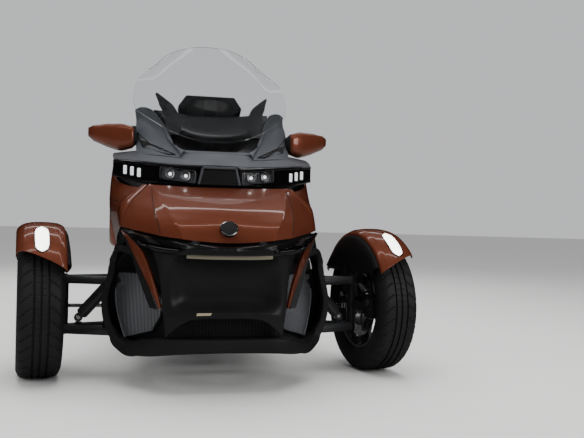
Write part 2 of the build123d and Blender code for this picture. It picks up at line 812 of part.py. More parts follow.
def make_mirror_pods():
    rings = []
    for x, y, z, depth, height in pod_stations:
        ring = []
        for k in range(10):
            turn = radians(k * 36)
            ring.append((x, y + depth * cos(turn), z + height * sin(turn)))
        rings.append(ring)
    save("mirror_pods", *both(skin(rings)))


# Side panels: station y, then three (x, z) points from top to bottom
side_stations = [
    (-70, (298, 756), (392, 690), (386, 596)), (132, (414, 807), (434, 700), (404, 550)),
    (250, (424, 890), (438, 700), (408, 530)), (420, (404, 900), (438, 690), (400, 500)),
    (640, (300, 820), (410, 650), (370, 470)), (860, (206, 760), (330, 610), (320, 450)),
]


def make_side_panels():
    rows = []
    for y, top, middle, low in side_stations:
        points = [top, ((top[0] + middle[0]) / 2 + 10, (top[1] + middle[1]) / 2), middle,
                  ((low[0] + middle[0]) / 2 + 8, (low[1] + middle[1]) / 2), low]
        rows.append([(x, y, z) for x, z in points])
    shell = panel(rows, panel_wall, (0, 300, 600))
    bracket = beam((198, 300, 556), (413, 300, 560), 30, 20)
    save("side_panels", *both(fused([shell, bracket])))


lower_side_stations = [
    (130, (396, 540), (420, 430), (360, 250)), (330, (392, 510), (412, 400), (330, 190)),
    (610, (366, 466), (360, 380), (280, 190)),
]


def make_lower_side_panels():
    rows = [[(x, y, z) for x, z in (top, middle, low)] for y, top, middle, low in lower_side_stations]
    shell = panel(rows, panel_wall, (0, 400, 400))
    bracket = beam((199, 250, 196), (340, 250, 222), 30, 16)
    save("lower_side_panels", *both(fused([shell, bracket])))


# Console between dash and seat: station y, half width at top, half width at foot, top z, foot z
console_stations = [
    (405, 110, 200, 1010, 700), (560, 130, 206, 930, 650), (760, 130, 204, 880, 650),
    (960, 96, 176, 800, 655),
    (1030, 84, 168, 770, 660),
]


def make_console():
    rows = []
    for y, top_half, foot_half, top, foot in console_stations:
        rows.append([(0, y, top + 6), (top_half - 20, y, top), (top_half + 14, y, top - 40),
                     (foot_half, y, foot)])
    shell = whole_panel(rows, panel_wall, (0, 700, 500))
    shell -= rod(column_place(-60), column_place(80), 36)
    feet = [box_between((side * 184, 622, 602), (side * 203, 640, 656)) for side in side_signs]
    save("console_cover", fused([shell] + feet))


# Seats: station y, half width, top z, bottom z
rider_seat_stations = [(1030.3, 96, 772, 690), (1120, 150, 764, 680), (1250, 196, 755, 680),
                       (1345, 206, 790, 690),
                       (1385, 190, 850, 700)]
passenger_seat_stations = [(1385.3, 150, 874, 730), (1480, 178, 884, 726), (1600, 186, 886, 726),
                           (1692, 176, 896, 726)]


def seat(stations):
    rings = []
    for y, half, top, low in stations:
        rings.append([(-half, y, low), (-half, y, top - 26), (-half + 30, y, top), (half - 30, y, top),
                      (half, y, top - 26), (half, y, low)])
    return skin(rings)


def make_seats():
    save("seats", seat(rider_seat_stations), seat(passenger_seat_stations))


# Side cases: outline (y, z), the same for tub and lid
case_outline = [(1470, 560), (1560, 452), (2110, 452), (2236, 560), (2250, 760), (2160, 826), (1540, 832),
                (1462, 760)]
case_inner_x = 216.0
case_split_x = 402.0
case_outer_x = 486.0
case_lid_shrink = 46.0
case_middle = (1860.0, 645.0)
case_hinge = (405.0, 445.0)
case_hinge_y = (1630.0, 2030.0)
case_hinge_half = 30.0


def shrunk(outline, middle, by):
    """Outline with each point moved towards the middle by a set distance."""
    result = []
    for y, z in outline:
        reach = sqrt((y - middle[0]) ** 2 + (z - middle[1]) ** 2)
        share = (reach - by) / reach
        result.append((middle[0] + (y - middle[0]) * share, middle[1] + (z - middle[1]) * share))
    return result


def at_x(outline, x):
    return [(x, y, z) for y, z in outline]


def side_case_hinges():
    x, z = case_hinge
    pairs = [hinge((x, y - case_hinge_half, z), (x, y + case_hinge_half, z), (-9, 0, 10), (9, 0, 10))
             for y in case_hinge_y]
    return [pair[0] for pair in pairs], [pair[1] for pair in pairs]


def make_side_cases():
    pins, eyes = side_case_hinges()
    inner_outline = shrunk(case_outline, case_middle, case_wall * 1.4)
    tub = skin([at_x(case_outline, case_inner_x), at_x(case_outline, case_split_x)])
    tub -= skin([at_x(inner_outline, case_inner_x + case_wall), at_x(inner_outline, case_split_x + 20)])
    mount = box_between((165, 1580, rail_z(1600) - 11), (case_inner_x + 1, 1620, rail_z(1600) + 12))
    rear_mount = box_between((165, 1960, rail_z(1980) - 12), (case_inner_x + 1, 2000, rail_z(1980) + 12))
    save("side_case_tubs", *both(fused([tub, mount, rear_mount] + pins)))
    lid_x = case_split_x + moving_gap
    outer_face = shrunk(case_outline, case_middle, case_lid_shrink)
    lid = skin([at_x(case_outline, lid_x), at_x(shrunk(case_outline, case_middle, 12), case_outer_x - 36),
                at_x(outer_face, case_outer_x)])
    hollow = skin([at_x(inner_outline, lid_x - 20),
                   at_x(shrunk(inner_outline, case_middle, 12), case_outer_x - 38),
                   at_x(shrunk(outer_face, case_middle, case_wall * 1.4), case_outer_x - case_wall)])
    left = fused([lid - hollow] + eyes)
    save("side_case_left_lid", left)
    save("side_case_right_lid", mirror(left, about=Plane.YZ))


tail_depth = 135.6
tail_top_z = over_rail_z(rail_rear_y) + tail_depth

# Top case: half width, then side outlines (y, z) of tub and lid about a split that rises forwards
top_half_width = 292.0
top_floor_rise = 34.0
top_floor_z = tail_top_z + top_floor_rise


def above_floor(outline):
    """Side outline of a top case piece, from heights counted from the case's floor."""
    return [(y, top_floor_z + rise) for y, rise in outline]


top_tub_outline = above_floor([(1778, 0), (2210, 0), (2262, 130), (2266, 166), (1762, 320), (1758, 130)])
top_lid_outline = above_floor([(1764, 326), (2272, 172), (2262, 280), (2180, 382), (1830, 398),
                               (1772, 374)])
top_hinge = (1752.0, top_floor_z + 323)
top_hinge_x = 140.0
top_hinge_half = 20.0


def tapered_prism(outline, half_width, taper, middle):
    """Prism along X whose two ends draw in."""
    inner = shrunk(outline, middle, taper)
    return skin([at_x(inner, -half_width), at_x(outline, -half_width + taper),
                 at_x(outline, half_width - taper),
                 at_x(inner, half_width)])


def top_case_hinges():
    pairs = [hinge((side * top_hinge_x - top_hinge_half, *top_hinge),
                   (side * top_hinge_x + top_hinge_half, *top_hinge),
                   (0, 12, -8), (0, 14, 10)) for side in side_signs]
    return [pair[0] for pair in pairs], [pair[1] for pair in pairs]


def make_top_case():
    pins, eyes = top_case_hinges()
    low_middle = (2010.0, top_floor_z + 120)
    tub = tapered_prism(top_tub_outline, top_half_width, 26, low_middle)
    room = above_floor([(1790, case_wall), (2202, case_wall), (2256, 132), (2262, 240), (1766, 380),
                        (1764, 132)])
    room_solid = skin([at_x(room, -top_half_width + 34), at_x(room, top_half_width - 34)])
    stand = [box_between((side * 135, 1800, tail_top_z), (side * 165, 2020, top_floor_z + 2))
             for side in side_signs]
    save("top_case_tub", fused([tub - room_solid] + stand + pins))
    high_middle = (2010.0, top_floor_z + 290)
    lid = tapered_prism(top_lid_outline, top_half_width, 26, high_middle)
    lid_room = above_floor([(1770, 300), (2266, 150), (2256, 278), (2177, 376), (1833, 392), (1777, 370)])
    lid -= skin([at_x(lid_room, -top_half_width + 34), at_x(lid_room, top_half_width - 34)])
    save("top_case_lid", fused([lid] + eyes))


backrest_thickness = 36.6


def make_backrest():
    rings = []
    for shift in (0, backrest_thickness):
        half_ring = [(150, 1702, 45), (168, 1712, 160), (130, 1724, 270)]
        ring = [(-x, y + shift, top_floor_z + rise) for x, y, rise in half_ring]
        ring += [(x, y + shift, top_floor_z + rise) for x, y, rise in half_ring[::-1]]
        rings.append(ring)
    save("backrest", skin(rings))


# Tail between the cases: station y, half width, low z, high z
tail_stations = [(1760, 186, over_rail_z(1760), tail_top_z - 56),
                 (1800, 190, over_rail_z(1800), tail_top_z),
                 (2060, 196, over_rail_z(2060), tail_top_z),
                 (2230, 190, over_rail_z(2060) + 20, tail_top_z),
                 (tail_y - 4, 170, over_rail_z(2060) + 52, tail_top_z - 10)]


def make_tail():
    rings = []
    for y, half, low, high in tail_stations:
        rings.append([(-half, y, low), (-half, y, high), (half, y, high), (half, y, low)])
    lamps = box_between((-150, tail_y - 5, tail_top_z - 61), (150, tail_y, tail_top_z - 11))
    save("tail_section", fused([skin(rings), lamps]))


rear_fender_gap = 33.0
rear_fender_radius = rear_tyre_radius + rear_fender_gap
neck_gap = 16.0
neck_rise = 257.0
neck_thickness = 40.0
plate_gap = 46.0
plate_thickness = 8.0
plate_height = 170.0
plate_drop = 90.0
rear_fender_half_width = 128.0
plate_hole_spacing = 178.0
plate_hole_radius = 3.5


def make_rear_fender():
    rows = []
    for step in range(9):
        angle = radians(12 + step * 12)
        row = []
        for share, drop in ((-1, 26), (-0.8, 6), (0, 0), (0.8, 6), (1, 26)):
            reach = rear_fender_radius - drop
            row.append((share * rear_fender_half_width, rear_axle_y + reach * cos(angle),
                        rear_tyre_radius + reach * sin(angle)))
        rows.append(row)
    shell = panel(rows, panel_wall, (0, rear_axle_y, rear_tyre_radius))
    neck_low = rear_tyre_radius + neck_rise
    neck_start = rear_axle_y + sqrt((rear_tyre_radius + neck_gap) ** 2 - neck_rise ** 2)
    plate_y = rear_axle_y + rear_fender_radius + plate_gap
    plate_low = neck_low - plate_drop
    plate = box_between((-110, plate_y, plate_low),
                        (110, plate_y + plate_thickness, plate_low + plate_height))
    neck = box_between((-40, neck_start, neck_low), (40, plate_y + 2, neck_low + neck_thickness))
    carrier_y = rear_axle_y + 76
    carrier = box_between((-60, carrier_y, rear_tyre_radius + rear_fender_radius - 25),
                          (60, carrier_y + 50, over_rail_z(carrier_y)))
    body = fused([shell, plate, neck, carrier])
    for side in side_signs:
        x = side * plate_hole_spacing / 2
        hole_z = neck_low + neck_thickness
        body -= rod((x, plate_y - 16, hole_z), (x, plate_y + 24, hole_z), plate_hole_radius)
    save("rear_fender", body)


def make_swingarm():
    parts = []
    for side in side_signs:
        parts.append(beam((side * swing_leg_x, swing_pivot[0], swing_pivot[1]),
                          (side * swing_leg_x, rear_axle_y + 40, rear_tyre_radius), 34, 66))
    parts.append(beam((-swing_leg_x - 17, 1330, 316), (swing_leg_x + 17, 1330, 316), 60, 50))
    parts.append(rod((-swing_leg_x, rear_axle_y, rear_tyre_radius),
                     (swing_leg_x, rear_axle_y, rear_tyre_radius),
                     spindle_radius))
    parts.append(rod((-swing_leg_x - 20, swing_pivot[0], swing_pivot[1]),
                     (swing_leg_x + 20, swing_pivot[0], swing_pivot[1]),
                     swing_pivot_radius))
    save("swingarm", fused(parts))


def make_muffler():
    can = rod((-300, 1120, 240), (-300, 1600, 262), 62)
    tail = rod((-300, 1590, 262), (-300, 1650, 265), 34)
    inlet = rod((-300, 1140, 226), (engine_low[0], 1000, 192), 26)
    hanger = box_between((-306, 1122, 284), (-203, 1140, 304))
    save("muffler", fused([can, tail, inlet, hanger]) - box_between(engine_low, engine_high))


belt_front = (1070.0, 330.0)
belt_front_radius = 48.0
belt_thickness = 12.0


def make_belt():
    """Toothed belt loop between the gearbox sprocket and the wheel pulley."""
    x_low = pulley_low_x + 2
    x_high = pulley_high_x - 2
    inner = pulley_radius + 5

    def loop(front_radius, rear_radius, low, high):
        reach = sqrt((rear_axle_y - belt_front[0]) ** 2 + (rear_tyre_radius - belt_front[1]) ** 2)
        lean = atan2(rear_tyre_radius - belt_front[1], rear_axle_y - belt_front[0])
        turn = atan2(rear_radius - front_radius, reach)
        outline = []
        for k in range(13):
            angle = lean - radians(90) + k * radians(180) / 12 - turn + 2 * turn * k / 12
            outline.append((rear_axle_y + rear_radius * cos(angle),
                            rear_tyre_radius + rear_radius * sin(angle)))
        for k in range(9):
            angle = lean + radians(90) + turn + k * (radians(180) - 2 * turn) / 8
            outline.append((belt_front[0] + front_radius * cos(angle),
                            belt_front[1] + front_radius * sin(angle)))
        return skin([at_x(outline, low), at_x(outline, high)])

    belt = loop(belt_front_radius + belt_thickness, inner + belt_thickness, x_low, x_high)
    belt -= loop(belt_front_radius, inner, x_low - 5, x_high + 5)
    sprocket = rod((engine_high[0] + fit_gap, *belt_front), (x_high, *belt_front), belt_front_radius)
    save("belt_drive", belt + sprocket)


def make_footboards():
    solids = []
    for side in side_signs:
        board = skin([[(side * x, y, z) for x, y in ((250, 640), (395, 655), (380, 960), (250, 985))]
                      for z in (322, 338)])
        bracket = beam((side * 205.7, 800, 262), (side * 300, 800, 312), 40, 24)
        solids.append(fused([board, bracket]))
        peg = box_between((side * 262, 1240, 470), (side * 350, 1390, 484))
        strut = beam((side * 202.3, 1280, 396), (side * 280, 1300, 468), 26, 22)
        solids.append(fused([peg, strut]))
    save("footboards", *solids)


bar_half_width = 405.0
column_height = 120.0


def column_axis():
    return Axis(column_foot, (0, sin(radians(column_rake)), cos(radians(column_rake))))


def make_handlebar():
    head = Vector(*column_place(column_height))
    solids = [rod(column_place(fit_gap), column_place(column_height + 6), 26)]
    bar = [(side * x, y, z) for side, x, y,
           z in ((-1, 262, 700, 1064), (-1, 150, 630, 1050), (-1, 60, 612, 1024),
                                                  (1, 60, 612, 1024), (1, 150, 630, 1050),
                 (1, 262, 700, 1064))]
    solids.append(bent_tube(bar, 13))
    for side in side_signs:
        grip_start = Vector(side * 256, 697, 1063)
        grip_end = Vector(side * bar_half_width, 772, 1052)
        solids.append(rod(grip_start, grip_end, 18))
        perch = grip_start + Vector(side * 10, -46, -4)
        solids.append(beam(grip_start, perch, 20, 16))
        solids.append(beam(perch, perch + Vector(side * 125, 56, -8), 9, 14))
    save("handlebar", fused(solids).rotate(column_axis(), steer_angle))


def main():
    os.makedirs("parts", exist_ok=True)
    for side in side_signs:
        make_front_wheel(side)
        make_knuckle(side)
        make_fender(side)
        make_fender_lamp(side)
    make_rear_wheel()
    make_suspension()
    make_shocks()
    make_rack()
    make_frame()
    make_engine()
    make_hood()
    make_nose_band()
    make_centre_panel()
    make_cheek_blades()
    make_lower_fascia()
    make_grilles()
    make_front_trunk()
    make_lamp_panel()
    make_headlamps()
    make_upper_fairing()
    make_dash_bowl()
    make_binnacle()
    make_windshield()
    make_screen_arms()
    make_mirror_pods()
    make_side_panels()
    make_lower_side_panels()
    make_console()
    make_seats()
    make_backrest()
    make_side_cases()
    make_top_case()
    make_tail()
    make_rear_fender()
    make_swingarm()
    make_muffler()
    make_belt()
    make_footboards()
    make_handlebar()


main()
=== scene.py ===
"""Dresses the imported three-wheeled touring roadster: panels, wheels, lamps, seats and luggage."""
from math import cos, pi, radians, sin

import bmesh
import bpy
import numpy as np
from bpy.props import FloatProperty, FloatVectorProperty, IntProperty, PointerProperty
from bpy.types import Operator, Panel, PropertyGroup
from mathutils import Matrix, Vector
from mathutils.bvhtree import BVHTree


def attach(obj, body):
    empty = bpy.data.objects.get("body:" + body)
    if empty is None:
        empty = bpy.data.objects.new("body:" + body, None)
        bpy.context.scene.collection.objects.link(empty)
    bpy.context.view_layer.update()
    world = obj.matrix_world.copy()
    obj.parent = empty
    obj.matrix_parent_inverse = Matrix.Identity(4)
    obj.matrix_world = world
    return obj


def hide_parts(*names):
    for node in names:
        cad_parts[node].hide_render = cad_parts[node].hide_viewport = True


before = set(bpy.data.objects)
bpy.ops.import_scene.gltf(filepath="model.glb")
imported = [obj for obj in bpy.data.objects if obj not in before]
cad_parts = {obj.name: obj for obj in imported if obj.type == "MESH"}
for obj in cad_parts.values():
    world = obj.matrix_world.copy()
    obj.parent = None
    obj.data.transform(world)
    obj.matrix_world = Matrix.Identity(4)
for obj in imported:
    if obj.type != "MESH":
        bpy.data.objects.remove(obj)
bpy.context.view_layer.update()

bl_info = {
    "name": "Touring roadster dress",
    "version": (1, 0, 0),
    "blender": (4, 5, 0),
    "location": "3D View > Sidebar > Roadster",
    "description": "Builds the visible panels, wheels, lamps, seats and cases of a three-wheeled roadster",
    "category": "Object",
}

# Places are written in millimetres from the middle of the front axle line, on the ground
AXLE_TO_MIDDLE = 876.5
KINGPIN_X = 600.0
HALF_TRACK = 692.0
PARKED_TURN = radians(9)
FRONT_RADIUS = 281.0
REAR_AXLE_Y = 1714.0
REAR_RADIUS = 303.0
LEFT_HUB = (HALF_TRACK, 0, FRONT_RADIUS)
RIGHT_HUB = (-HALF_TRACK, 0, FRONT_RADIUS)
REAR_HUB = (0, REAR_AXLE_Y, REAR_RADIUS)
SIDES = (1, -1)
SIDE_NAME = {1: "left", -1: "right"}
ORIGIN = (0, 0, 0)
X_AXIS, Y_AXIS, Z_AXIS = np.eye(3)
DOWN = (0, 0, -1)


# Lines and surfaces
def unit(vectors):
    """Vector, or rows of vectors, brought to length one."""
    v = np.asarray(vectors, float)
    return v / np.linalg.norm(v, axis=-1, keepdims=True)


def curve(points, steps=6, creases=()):
    """Smooth line through the points, with a corner at each crease."""
    p = np.asarray(points, float)
    gaps = np.maximum(np.linalg.norm(np.diff(p, axis=0), axis=1), 1e-6)
    slopes = np.diff(p, axis=0) / gaps[:, None]
    if len(p) == 2:
        leaving = arriving = np.vstack([slopes, slopes])
    else:
        weight = (gaps[:-1] + gaps[1:])[:, None]
        inner = (slopes[:-1] * gaps[1:, None] + slopes[1:] * gaps[:-1, None]) / weight
        first = 1.5 * slopes[0] - 0.5 * inner[0]
        last = 1.5 * slopes[-1] - 0.5 * inner[-1]
        arriving = np.vstack([first[None], inner, last[None]])
        leaving = arriving.copy()
        for i in creases:
            arriving[i] = slopes[i - 1]
            leaving[i] = slopes[i]
    t = np.linspace(0, 1, steps, endpoint=False)[:, None]
    line = []
    for i in range(len(p) - 1):
        line.append((2 * t**3 - 3 * t**2 + 1) * p[i] + (t**3 - 2 * t**2 + t) * gaps[i] * leaving[i]
                    + (3 * t**2 - 2 * t**3) * p[i + 1] + (t**3 - t**2) * gaps[i] * arriving[i + 1])
    return np.concatenate(line + [p[-1:]])


def path_and_sizes(stations):
    """Smooth path through the places of stations, and the sizes they give along it."""
    return curve([station[:3] for station in stations]), curve([station[3:] for station in stations])


def surface(table, across=6, along=6, column_creases=(), row_creases=()):
    """Dense rows of points through a coarse table of points."""
    rows = np.array([curve(row, across, column_creases) for row in table])
    columns = [curve(column, along, row_creases) for column in rows.transpose(1, 0, 2)]
    return np.array(columns).transpose(1, 0, 2)


def mirrored(table):
    """Half rows from the middle out to the left, made whole."""
    rows = np.asarray(table, float)
    return np.concatenate([rows[:, :0:-1] * (-1, 1, 1), rows], axis=1)


def normals(rows):
    """Unit normal at each point of dense rows."""
    n = np.cross(np.gradient(rows, axis=0), np.gradient(rows, axis=1))
    return n / np.maximum(np.linalg.norm(n, axis=2, keepdims=True), 1e-9)


def outward(rows, inside):
    """Normals of dense rows, turned away from the point inside."""
    n = normals(rows)
    centre = rows.reshape(-1, 3).mean(0)
    return n if n.reshape(-1, 3).mean(0) @ (centre - np.asarray(inside, float)) > 0 else -n


def at(rows, u, v):
    """Point of dense rows at a share u down and v across."""
    m, n = rows.shape[:2]
    a, b = min(max(u, 0), 1) * (m - 1), min(max(v, 0), 1) * (n - 1)
    i, j = min(int(a), m - 2), min(int(b), n - 2)
    s, t = a - i, b - j
    return ((rows[i, j] * (1 - s) + rows[i + 1, j] * s) * (1 - t)
            + (rows[i, j + 1] * (1 - s) + rows[i + 1, j + 1] * s) * t)


def nearest(rows, u, v):
    """Entry of dense rows at or before a share u down and v across."""
    return rows[int(u * (len(rows) - 1)), int(v * (rows.shape[1] - 1))]


def turned(points, pivot, axis, angle):
    """Points turned about a line."""
    k = unit(axis)
    q = np.asarray(points, float) - pivot
    return (pivot + q * cos(angle) + np.cross(k, q) * sin(angle)
            + (q @ k)[..., None] * k * (1 - cos(angle)))


def steered(points, side):
    """Points of a piece on a kingpin, turned to the angle the wheels are parked at."""
    return turned(points, (side * KINGPIN_X, 0, 0), Z_AXIS, PARKED_TURN)


def rounded_box_ring(width, height, corner, steps=4):
    """Rounded rectangle as (u, v) offsets."""
    ring = []
    for quarter, (su, sv) in enumerate(((1, 1), (-1, 1), (-1, -1), (1, -1))):
        for k in range(steps + 1):
            turn = (quarter + k / steps) * pi / 2
            ring.append((su * (width / 2 - corner) + corner * cos(turn),
                         sv * (height / 2 - corner) + corner * sin(turn)))
    return np.array(ring)


def set_out(ring, layers, place, across, rise, out):
    """The ring stacked about a place: layers hold (share of its size, distance out)."""
    return [place + ring[:, :1] * share * across + ring[:, 1:] * share * rise + out * forward
            for share, forward in layers]


def rear_plate(x, z, width, height, corner, layers):
    """Rings of a rounded plate that faces along y, through layers of (share of its size, y)."""
    return [[(x + u, y, z + v) for u, v in rounded_box_ring(width * share, height * share, corner)]
            for share, y in layers]


def blend(a, b, share):
    return a * (1 - share) + b * share


def around(k, count, start=0.0):
    """Cosine and sine of place k of count places round a circle."""
    turn = k * 2 * pi / count + start
    return np.cos(turn), np.sin(turn)


def soften(piece, width, steps=2, angle=35):
    """Rounds a piece's sharp edges; the width is in millimetres."""
    edge = piece.modifiers.new("Soft edges", "BEVEL")
    edge.width = width / 1000
    edge.segments = steps
    edge.limit_method = "ANGLE"
    edge.angle_limit = radians(angle)
    edge.harden_normals = True


class Shape:
    """Points and faces of one piece, gathered before Blender makes its mesh."""

    def __init__(self):
        self.points = []
        self.faces = []
        self.slots = []
        self.open_faces = []
        self.count = 0

    def add(self, points, faces, slot=0, is_open=False):
        points = np.asarray(points, float).reshape(-1, 3)
        self.points.append(points)
        self.faces += [tuple(int(i) + self.count for i in face) for face in faces]
        self.slots += [slot] * len(faces) if isinstance(slot, int) else list(slot)
        self.open_faces += [is_open] * len(faces)
        self.count += len(points)
        return self

    def sheet(self, rows, inside=None, slot=0, closed=False):
        """Open sheet over dense rows; its faces look away from the point inside."""
        rows = np.asarray(rows, float)
        m, n = rows.shape[:2]
        flip = False
        if inside is not None:
            flip = not np.allclose(outward(rows, inside)[m // 2, n // 2], normals(rows)[m // 2, n // 2])
        faces = []
        for i in range(m if closed else m - 1):
            for j in range(n if closed else n - 1):
                a, b = i * n + j, i * n + (j + 1) % n
                c, d = ((i + 1) % m) * n + (j + 1) % n, ((i + 1) % m) * n + j
                faces.append((a, b, c, d) if flip else (a, d, c, b))
        return self.add(rows, faces, slot, is_open=inside is not None)

    def loft(self, rings, slot=0, caps=True):
        """Skin through closed rings of points."""
        rings = np.asarray(rings, float)
        m, n = rings.shape[:2]
        faces = [(i * n + j, i * n + (j + 1) % n, (i + 1) * n + (j + 1) % n, (i + 1) * n + j)
                 for i in range(m - 1) for j in range(n)]
        if caps:
            faces += [tuple(range(n))[::-1], tuple((m - 1) * n + j for j in range(n))]
        return self.add(rings, faces, slot)

    def tube(self, path, radius, sides=12, slot=0, closed=False):
        """Round bar along a path."""
        p = np.asarray(path, float)
        run = np.roll(p, -1, axis=0) - np.roll(p, 1, axis=0) if closed else np.gradient(p, axis=0)
        run = unit(run)
        level = np.cross(run[0], (0.13, 0.07, 1) if abs(run[0][2]) < 0.9 else (1, 0.1, 0))
        c, s = around(np.arange(sides), sides)
        rings = []
        for i in range(len(p)):
            level = unit(level - run[i] * (level @ run[i]))
            rings.append(p[i] + radius * (c[:, None] * level + s[:, None] * np.cross(run[i], level)))
        if closed:
            rings.append(rings[0])
        return self.loft(rings, slot, caps=not closed)

    def lathe(self, profile, centre=ORIGIN, axis=X_AXIS, steps=48, slot=0, closed=False):
        """Turned piece; profile points are (distance along the axis, radius)."""
        k = unit(axis)
        level = unit(np.cross(k, Z_AXIS if abs(k[2]) < 0.9 else X_AXIS))
        c, s = around(np.arange(steps), steps)
        circle = c[:, None] * level + s[:, None] * np.cross(k, level)
        rows = [np.asarray(centre, float) + k * offset + circle * radius for offset, radius in profile]
        if closed:
            rows.append(rows[0])
        return self.loft(rows, slot, caps=not closed and profile[0][1] > 0.01 and profile[-1][1] > 0.01)

    def sleeve(self, start, end, inner, outer, centre=ORIGIN, axis=X_AXIS, steps=48, slot=0):
        """Plain ring between two distances along its axis."""
        profile = [(start, inner), (start, outer), (end, outer), (end, inner)]
        return self.lathe(profile, centre, axis, steps, slot, closed=True)

    def box(self, low, high, slot=0):
        (x, y, z), (a, b, c) = low, high
        return self.loft([[(x, y, h), (a, y, h), (a, b, h), (x, b, h)] for h in (z, c)], slot)

    def bar(self, start, end, width, height, slot=0, corner=3, up=Z_AXIS, steps=2):
        """Bar with rounded edges between two points."""
        run = unit(np.subtract(end, start))
        level = unit(np.cross(run, up))
        ring = rounded_box_ring(width, height, corner, steps)
        return self.loft([place + ring[:, :1] * level + ring[:, 1:] * np.cross(level, run)
                          for place in (start, end)], slot)

    def sweep(self, path, widths, depths, corner=0.35):
        """Rounded bar along a path that keeps its depth along y."""
        rings = []
        for place, run, width, depth in zip(path, unit(np.gradient(path, axis=0)), widths, depths):
            deep = unit(Y_AXIS - run * run[1])
            ring = rounded_box_ring(width, depth, corner * min(width, depth))
            rings.append(place + ring[:, :1] * np.cross(run, deep) + ring[:, 1:] * deep)
        return self.loft(rings)

    def both(self):
        """The mirror image of all so far is added."""
        points = np.concatenate(self.points)
        self.faces += [tuple(i + self.count for i in face[::-1]) for face in self.faces]
        self.points.append(points * (-1, 1, 1))
        self.slots *= 2
        self.open_faces *= 2
        self.count += len(points)
        return self

    def moved(self, change):
        self.points = [change(np.concatenate(self.points))]
        return self

    def make(self, name, finish_names, slot, body="chassis", replaces=None, wall=0, bevel=0, bevel_steps=2,
             smooth=38):
        """The Blender object of this shape, riding on its body."""
        points = (np.concatenate(self.points) - (0, AXLE_TO_MIDDLE, 0)) / 1000
        mesh = bpy.data.meshes.new(name)
        mesh.from_pydata(points.tolist(), [], self.faces)
        for finish_name in finish_names.split():
            mesh.materials.append(finishes[finish_name])
        mesh.polygons.foreach_set("material_index", self.slots)
        edit = bmesh.new()
        edit.from_mesh(mesh)
        edit.faces.ensure_lookup_table()
        closed = [edit.faces[i] for i, is_open in enumerate(self.open_faces) if not is_open]
        if closed:
            bmesh.ops.recalc_face_normals(edit, faces=closed)
        edit.to_mesh(mesh)
        edit.free()
        mesh.shade_smooth()
        mesh.set_sharp_from_angle(angle=radians(smooth))
        piece = bpy.data.objects.new(name, mesh)
        bpy.context.scene.collection.objects.link(piece)
        if wall:
            solidify = piece.modifiers.new("Wall", "SOLIDIFY")
            solidify.thickness = wall / 1000
            solidify.offset = -1
            solidify.use_even_offset = True
        if bevel:
            soften(piece, bevel, bevel_steps)
        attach(piece, body)
        if replaces:
            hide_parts(replaces)
        return piece


def keep(name, finish_name, bevel=1.2):
    """A CAD node that stays as it is, with this finish and softened edges."""
    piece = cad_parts[name]
    piece.data.materials.clear()
    piece.data.materials.append(finishes[finish_name])
    if bevel:
        soften(piece, bevel, angle=40)


# Shader groups and materials
groups = {}
finishes = {}


def new_group(name, inputs, outputs):
    """Shader group with its named sockets, and its two end nodes."""
    tree = bpy.data.node_groups.new(name, "ShaderNodeTree")
    for label, value in inputs.items():
        kind = "NodeSocketFloat" if isinstance(value, float) else "NodeSocketColor"
        tree.interface.new_socket(label, in_out="INPUT", socket_type=kind).default_value = value
    for label in outputs:
        kind = "NodeSocketColor" if label == "Colour" else "NodeSocketFloat"
        tree.interface.new_socket(label, in_out="OUTPUT", socket_type=kind)
    return tree, tree.nodes.new("NodeGroupInput"), tree.nodes.new("NodeGroupOutput")


def node(tree, kind, **settings):
    """Shader node with its settings; a space in a socket's name is written as an underscore."""
    made = tree.nodes.new(kind)
    for key, value in settings.items():
        if hasattr(made, key):
            setattr(made, key, value)
        else:
            made.inputs[key.replace("_", " ")].default_value = value
    return made


def texture(tree, kind, **settings):
    """Texture node that reads the object's own coordinates."""
    made = node(tree, "ShaderNodeTex" + kind, **settings)
    tree.links.new(node(tree, "ShaderNodeTexCoord").outputs["Object"], made.inputs["Vector"])
    return made


def fill_sockets(tree, pairs):
    """Each socket gets its value, or a link when the value is a node's output."""
    for socket, value in pairs:
        if hasattr(value, "is_output"):
            tree.links.new(value, socket)
        else:
            socket.default_value = value


def math_node(tree, operation, a, b, clamp=False):
    made = node(tree, "ShaderNodeMath", operation=operation, use_clamp=clamp)
    fill_sockets(tree, zip(made.inputs, (a, b)))
    return made.outputs[0]


def mix_colour(tree, share, a, b):
    made = node(tree, "ShaderNodeMix", data_type="RGBA")
    fill_sockets(tree, zip((made.inputs[0], made.inputs[6], made.inputs[7]), (share, a, b)))
    return made.outputs[2]


def build_flake_group():
    """Flakes in a metallic coat and the faint waves of its clear coat."""
    tree, start, end = new_group("Paint flake", {
        "Colour": (0.3, 0.1, 0.05, 1), "Bright flake": (0.6, 0.3, 0.15, 1), "Flake share": 0.3,
        "Flake scale": 1500.0}, ("Colour", "Height"))
    cells = texture(tree, "Voronoi")
    tree.links.new(start.outputs["Flake scale"], cells.inputs["Scale"])
    spread = node(tree, "ShaderNodeSeparateColor")
    tree.links.new(cells.outputs["Color"], spread.inputs[0])
    share = math_node(tree, "POWER", spread.outputs[0], 3.0)
    share = math_node(tree, "MULTIPLY", share, start.outputs["Flake share"])
    colour = mix_colour(tree, share, start.outputs["Colour"], start.outputs["Bright flake"])
    tree.links.new(colour, end.inputs["Colour"])
    waves = texture(tree, "Noise", Scale=90.0, Detail=1.0)
    tree.links.new(waves.outputs["Fac"], end.inputs["Height"])
    return tree


